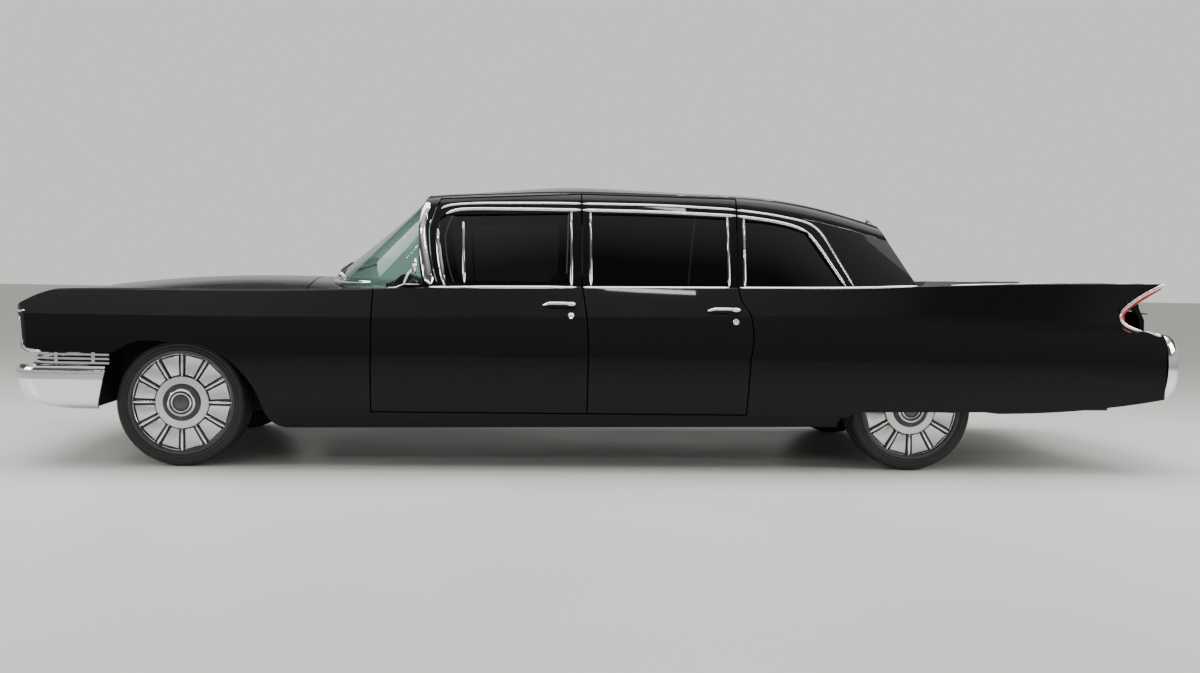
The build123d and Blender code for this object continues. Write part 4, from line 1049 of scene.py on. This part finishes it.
DIAL_X, DIAL_Y, DIAL_Z = back(1196), (-0.5, -0.32), 0.925
DIAL_RING = ((44, -6), (44, 4), (47, 7), (51, 4), (52, -6), (44, -6))
DIAL_FACE = ((0, 0), (46, 0), (46, -6), (0, -6))
KNOB = ((0, 22), (7, 21), (10, 17), (10, 10), (6, 8), (6, -4), (0, -4))
KNOB_X, KNOB_Y, KNOB_Z = back(1206), (-0.12, -0.04, 0.04, 0.12), 0.8
dial_face = Finish("dial_face", Base_Color=(0.02, 0.02, 0.022, 1), Roughness=0.35, Coat_Weight=1.0)
dial_face.rough(dial_face.noise(60, 2.0), 0.28, 0.42)
rings, faces = bmesh.new(), bmesh.new()
for y in DIAL_Y:
    spun(rings, DIAL_RING, (DIAL_X, y, DIAL_Z), REARWARD, 40)
    spun(faces, DIAL_FACE, (DIAL_X, y, DIAL_Z), REARWARD, 40)
for y in KNOB_Y:
    spun(rings, KNOB, (KNOB_X, y, KNOB_Z), REARWARD, 20)
level = [Vector((back(1168), y, 0.893)) for y in steps(0.05, 0.62, 0.06)]
sweep(rings, level, [Vector((0.83, 0, 0.55))] * len(level), 0.006, 0.003)
piece_from("dash_brightwork", rings, chrome, "body")
piece_from("dash_dials", faces, dial_face, "body")

screen_tree = skin_of("windshield")
net = bmesh.new()
MIRROR_AT = Vector((back(1330), 0, 1.335))
matrix = Matrix.Translation(MIRROR_AT) @ Matrix.Diagonal((0.009, 0.115, 0.026, 1))
bmesh.ops.create_uvsphere(net, u_segments=24, v_segments=12, radius=1, matrix=matrix)
stalk = smooth_line([MIRROR_AT + Vector((-0.004, 0, 0.01)), MIRROR_AT + Vector((-0.03, 0, 0.04)),
                     MIRROR_AT + Vector((-0.028, 0, 0.085))], 0.02)
sweep(net, stalk, [Vector((1, 0, 0.2))] * len(stalk), 0.006, 0.005)
piece_from("cabin_mirror", net, chrome, "body")

VISOR_X, VISOR_Y = back(1330), 0.36
for side_name, side in SIDES:
    net = bmesh.new()
    place = Matrix.Translation(roof_over(VISOR_X, side * VISOR_Y) - Vector((0, 0, 0.03)))
    rounded_box(net, place @ Matrix.Rotation(math.radians(8), 4, "Y"), (0.075, 0.215, 0.009), 0.008)
    piece_from(f"sun_visor_{side_name}", net, cloth_grey, "body")

WIPER_Y, WIPER_LOW, WIPER_TIP = (-0.46, 0.1), 0.985, (0.4, 0.075)
PIVOT = ((0, 26), (10, 24), (14, 16), (16, 0), (0, 0))
arms, blades = bmesh.new(), bmesh.new()
for y in WIPER_Y:
    starts = [(-3, y + WIPER_TIP[0] * t, WIPER_LOW + WIPER_TIP[1] * t) for t in steps(0, 1, 0.1)]
    found = hits(screen_tree, starts, (1, 0, 0))
    normals = [n for _, n in found]
    sweep(blades, [hit + n * 0.007 for hit, n in found], normals, 0.004, 0.006, 8)
    sweep(arms, [hit + n * 0.016 for hit, n in found[:7]], normals[:7], 0.0055, 0.0025, 8)
    spun(arms, PIVOT, *found[0], 20)
piece_from("wiper_arms", arms, chrome, "body")
piece_from("wiper_blades", blades, rubber, "body")
print("cabin fittings and wipers done")

# %% [markdown]
# The engine is a plain block in the CAD model, so what sits on it is added here: ribbed rocker covers, a
# round air cleaner with its wing nut, a five-bladed fan before the block, the radiator's cap and the hose
# between the two.

# %% Under the hood
BLOCK_TOP, BLOCK_FRONT, CLEANER_X, COVER_Y, FAN_Z, RIB_PITCH = 0.8, -2.539, -2.15, 0.215, 0.64, 0.062
COVER_PARTS = ((0.3, 0.052, 0.026, 1), (0.006, 0.04, 0.032, 9))
net = bmesh.new()
for side_name, side in SIDES:
    for half_x, half_y, half_z, count in COVER_PARTS:
        for index in range(count):
            offset = (index - (count - 1) / 2) * RIB_PITCH
            place = Matrix.Translation((CLEANER_X + offset, side * COVER_Y, BLOCK_TOP + half_z - 0.001))
            rounded_box(net, place, (half_x, half_y, half_z), half_x / 20 + 0.003, 3)
piece_from("rocker_covers", net, dull_steel, "body")

CLEANER = ((0, 102), (30, 102), (36, 98), (150, 96), (160, 92), (166, 86), (160, 80), (158, 50), (166, 44),
           (162, 38), (60, 34), (52, 28), (52, -1), (0, -1))
WING_NUT = ((0, 118), (7, 117), (8, 106), (15, 103), (15, 100), (0, 100))
RADIATOR_CAP = ((0, 22), (26, 21), (32, 17), (34, 4), (26, 2), (26, -2), (0, -2))
UPWARD = (0, 0, 1)
net = bmesh.new()
spun(net, CLEANER, (CLEANER_X, 0, BLOCK_TOP), UPWARD, 56)
spun(net, WING_NUT, (CLEANER_X, 0, BLOCK_TOP), UPWARD, 20)
spun(net, RADIATOR_CAP, (back(-600), -0.16, 0.83), UPWARD, 28)
piece_from("air_cleaner", net, casting, "body")

FAN_AT, BLADES = Vector((BLOCK_FRONT - 0.075, 0, FAN_Z)), 5
FAN_HUB = ((0, 20), (30, 18), (42, 8), (42, -50), (24, -52), (24, -80), (0, -80))
net = bmesh.new()
spun(net, FAN_HUB, FAN_AT, FORWARD, 28)
for index in range(BLADES):
    turn = Matrix.Rotation(math.tau * index / BLADES, 4, "X") @ Matrix.Translation((0, 0.115, 0))
    turn = Matrix.Translation(FAN_AT) @ turn @ Matrix.Rotation(math.radians(32), 4, "Y")
    size = Matrix.Diagonal((0.002, 0.085, 0.034, 1))
    corners = bmesh.ops.create_cube(net, size=2, matrix=turn @ size)["verts"]
    soften(net, [edge for edge in edges_of(corners) if edge.calc_length() < 0.006], 0.016)
piece_from("radiator_fan", net, dull_steel, "body")

HOSE = ((back(-562), 0.16, 0.785), (-2.72, 0.16, 0.79), (-2.64, 0.15, 0.8), (-2.57, 0.12, 0.79),
        (-2.535, 0.11, 0.775))
net = bmesh.new()
line = smooth_line(HOSE, 0.012)
sweep(net, line, [Vector((0, 0, 1))] * len(line), 0.021, 0.021, 16)
piece_from("radiator_hose", net, rubber, "body")
print("engine dressed")

# %% [markdown]
# The windscreen and rear window have a bright gasket along their lower and upper edges. Level rays from
# outside find the glass from one side to the other, so each gasket follows the real glass.

# %% Glass surrounds
for name, node, facing, low, high in (
    ("windscreen", "windshield", -1, 0.958, 1.426), ("rear_window", "rear_glass", 1, 0.985, 1.325)
):
    tree = skin_of(node)
    net = bmesh.new()
    for z in (low, high):
        found = hits(tree, [(facing * 4, step * 0.033, z) for step in range(-24, 25)], (-facing, 0, 0))
        if len(found) > 3:
            sweep(net, [hit for hit, _ in found], [n for _, n in found], 0.011, 0.006)
    piece_from(f"{name}_gasket", net, chrome, "body")
print("gaskets done")

# %% [markdown]
# The studio is a plain pale floor under a soft sky. Black lacquer shows nothing but reflections, so the
# light is what shapes the body: a wide ceiling panel for the level surfaces, thin tubes and a strip for the
# shoulder line, and two panels for the ends. What the camera sees behind the car is one even pale shade,
# while the car mirrors a sky that is pale near the ground and overhead, and dark between.

# %% Floor and light
pale_floor = Finish("pale_floor", Base_Color=(0.74, 0.73, 0.7, 1), Roughness=0.38)
worn = pale_floor.noise(0.8, 5.0)
pale_floor.rough(worn, 0.28, 0.5)
net = bmesh.new()
bmesh.ops.create_grid(net, x_segments=8, y_segments=8, size=60)
studio_floor = placed("studio_floor", mesh_from("studio_floor", net))
dress(studio_floor, pale_floor)

world = bpy.data.worlds.new("studio")
world.use_nodes = True
sky = world.node_tree
direction = sky.nodes.new("ShaderNodeTexCoord")
height = sky.nodes.new("ShaderNodeSeparateXYZ")
shades = sky.nodes.new("ShaderNodeValToRGB")
SKY_STOPS = ((0.0, 0.5), (0.22, 0.64), (0.34, 0.1), (0.62, 0.1), (0.8, 0.95))
WALL_SHADE = (0.86, 0.855, 0.84, 1)
for index, (position, shade) in enumerate(SKY_STOPS):
    element = shades.color_ramp.elements[index] if index < 2 else shades.color_ramp.elements.new(position)
    element.position = position
    element.color = (shade, shade * 0.99, shade * 0.95, 1)
sky.links.new(direction.outputs["Generated"], height.inputs[0])
sky.links.new(height.outputs["Z"], shades.inputs["Fac"])
seen = sky.nodes.new("ShaderNodeLightPath")
wall = sky.nodes.new("ShaderNodeMix")
wall.data_type = "RGBA"
wall.inputs[7].default_value = WALL_SHADE
sky.links.new(seen.outputs["Is Camera Ray"], wall.inputs[0])
sky.links.new(shades.outputs["Color"], wall.inputs[6])
sky.links.new(wall.outputs[2], sky.nodes["Background"].inputs["Color"])
bpy.context.scene.world = world

LIGHTS = (
    # name, place, size across, size along, power, aimed at
    ("ceiling_panel", (0.0, 0.0, 5.2), 12.0, 4.0, 560, (0.0, 0.0, 0.0)),
    ("tube_front", (-3.2, -3.6, 4.6), 1.3, 0.035, 9, (-2.0, 0.0, 0.8)),
    ("tube_middle", (0.4, -3.6, 4.6), 1.3, 0.035, 9, (0.4, 0.0, 0.8)),
    ("tube_rear", (3.6, -3.6, 4.6), 1.3, 0.035, 9, (2.4, 0.0, 0.8)),
    ("tube_far", (1.8, 4.6, 4.4), 1.3, 0.035, 9, (0.8, 0.0, 0.8)),
    ("flank_strip", (-1.0, -7.5, 3.4), 9.0, 0.25, 90, (0.0, 0.0, 0.6)),
    ("tail_panel", (6.5, -3.0, 3.2), 2.4, 2.0, 140, (2.4, 0.0, 0.6)),
    ("nose_panel", (-7.0, -2.5, 2.8), 2.4, 2.0, 120, (-2.6, 0.0, 0.6)),
)
for name, place, across, along, power, target in LIGHTS:
    light_data = bpy.data.lights.new(name, "AREA")
    light_data.shape = "RECTANGLE"
    light_data.size = across
    light_data.size_y = along
    light_data.energy = power
    light = placed(name, light_data)
    light.location = place
    light.rotation_euler = (Vector(target) - Vector(place)).to_track_quat("-Z", "Y").to_euler()
print("lights", len(LIGHTS))
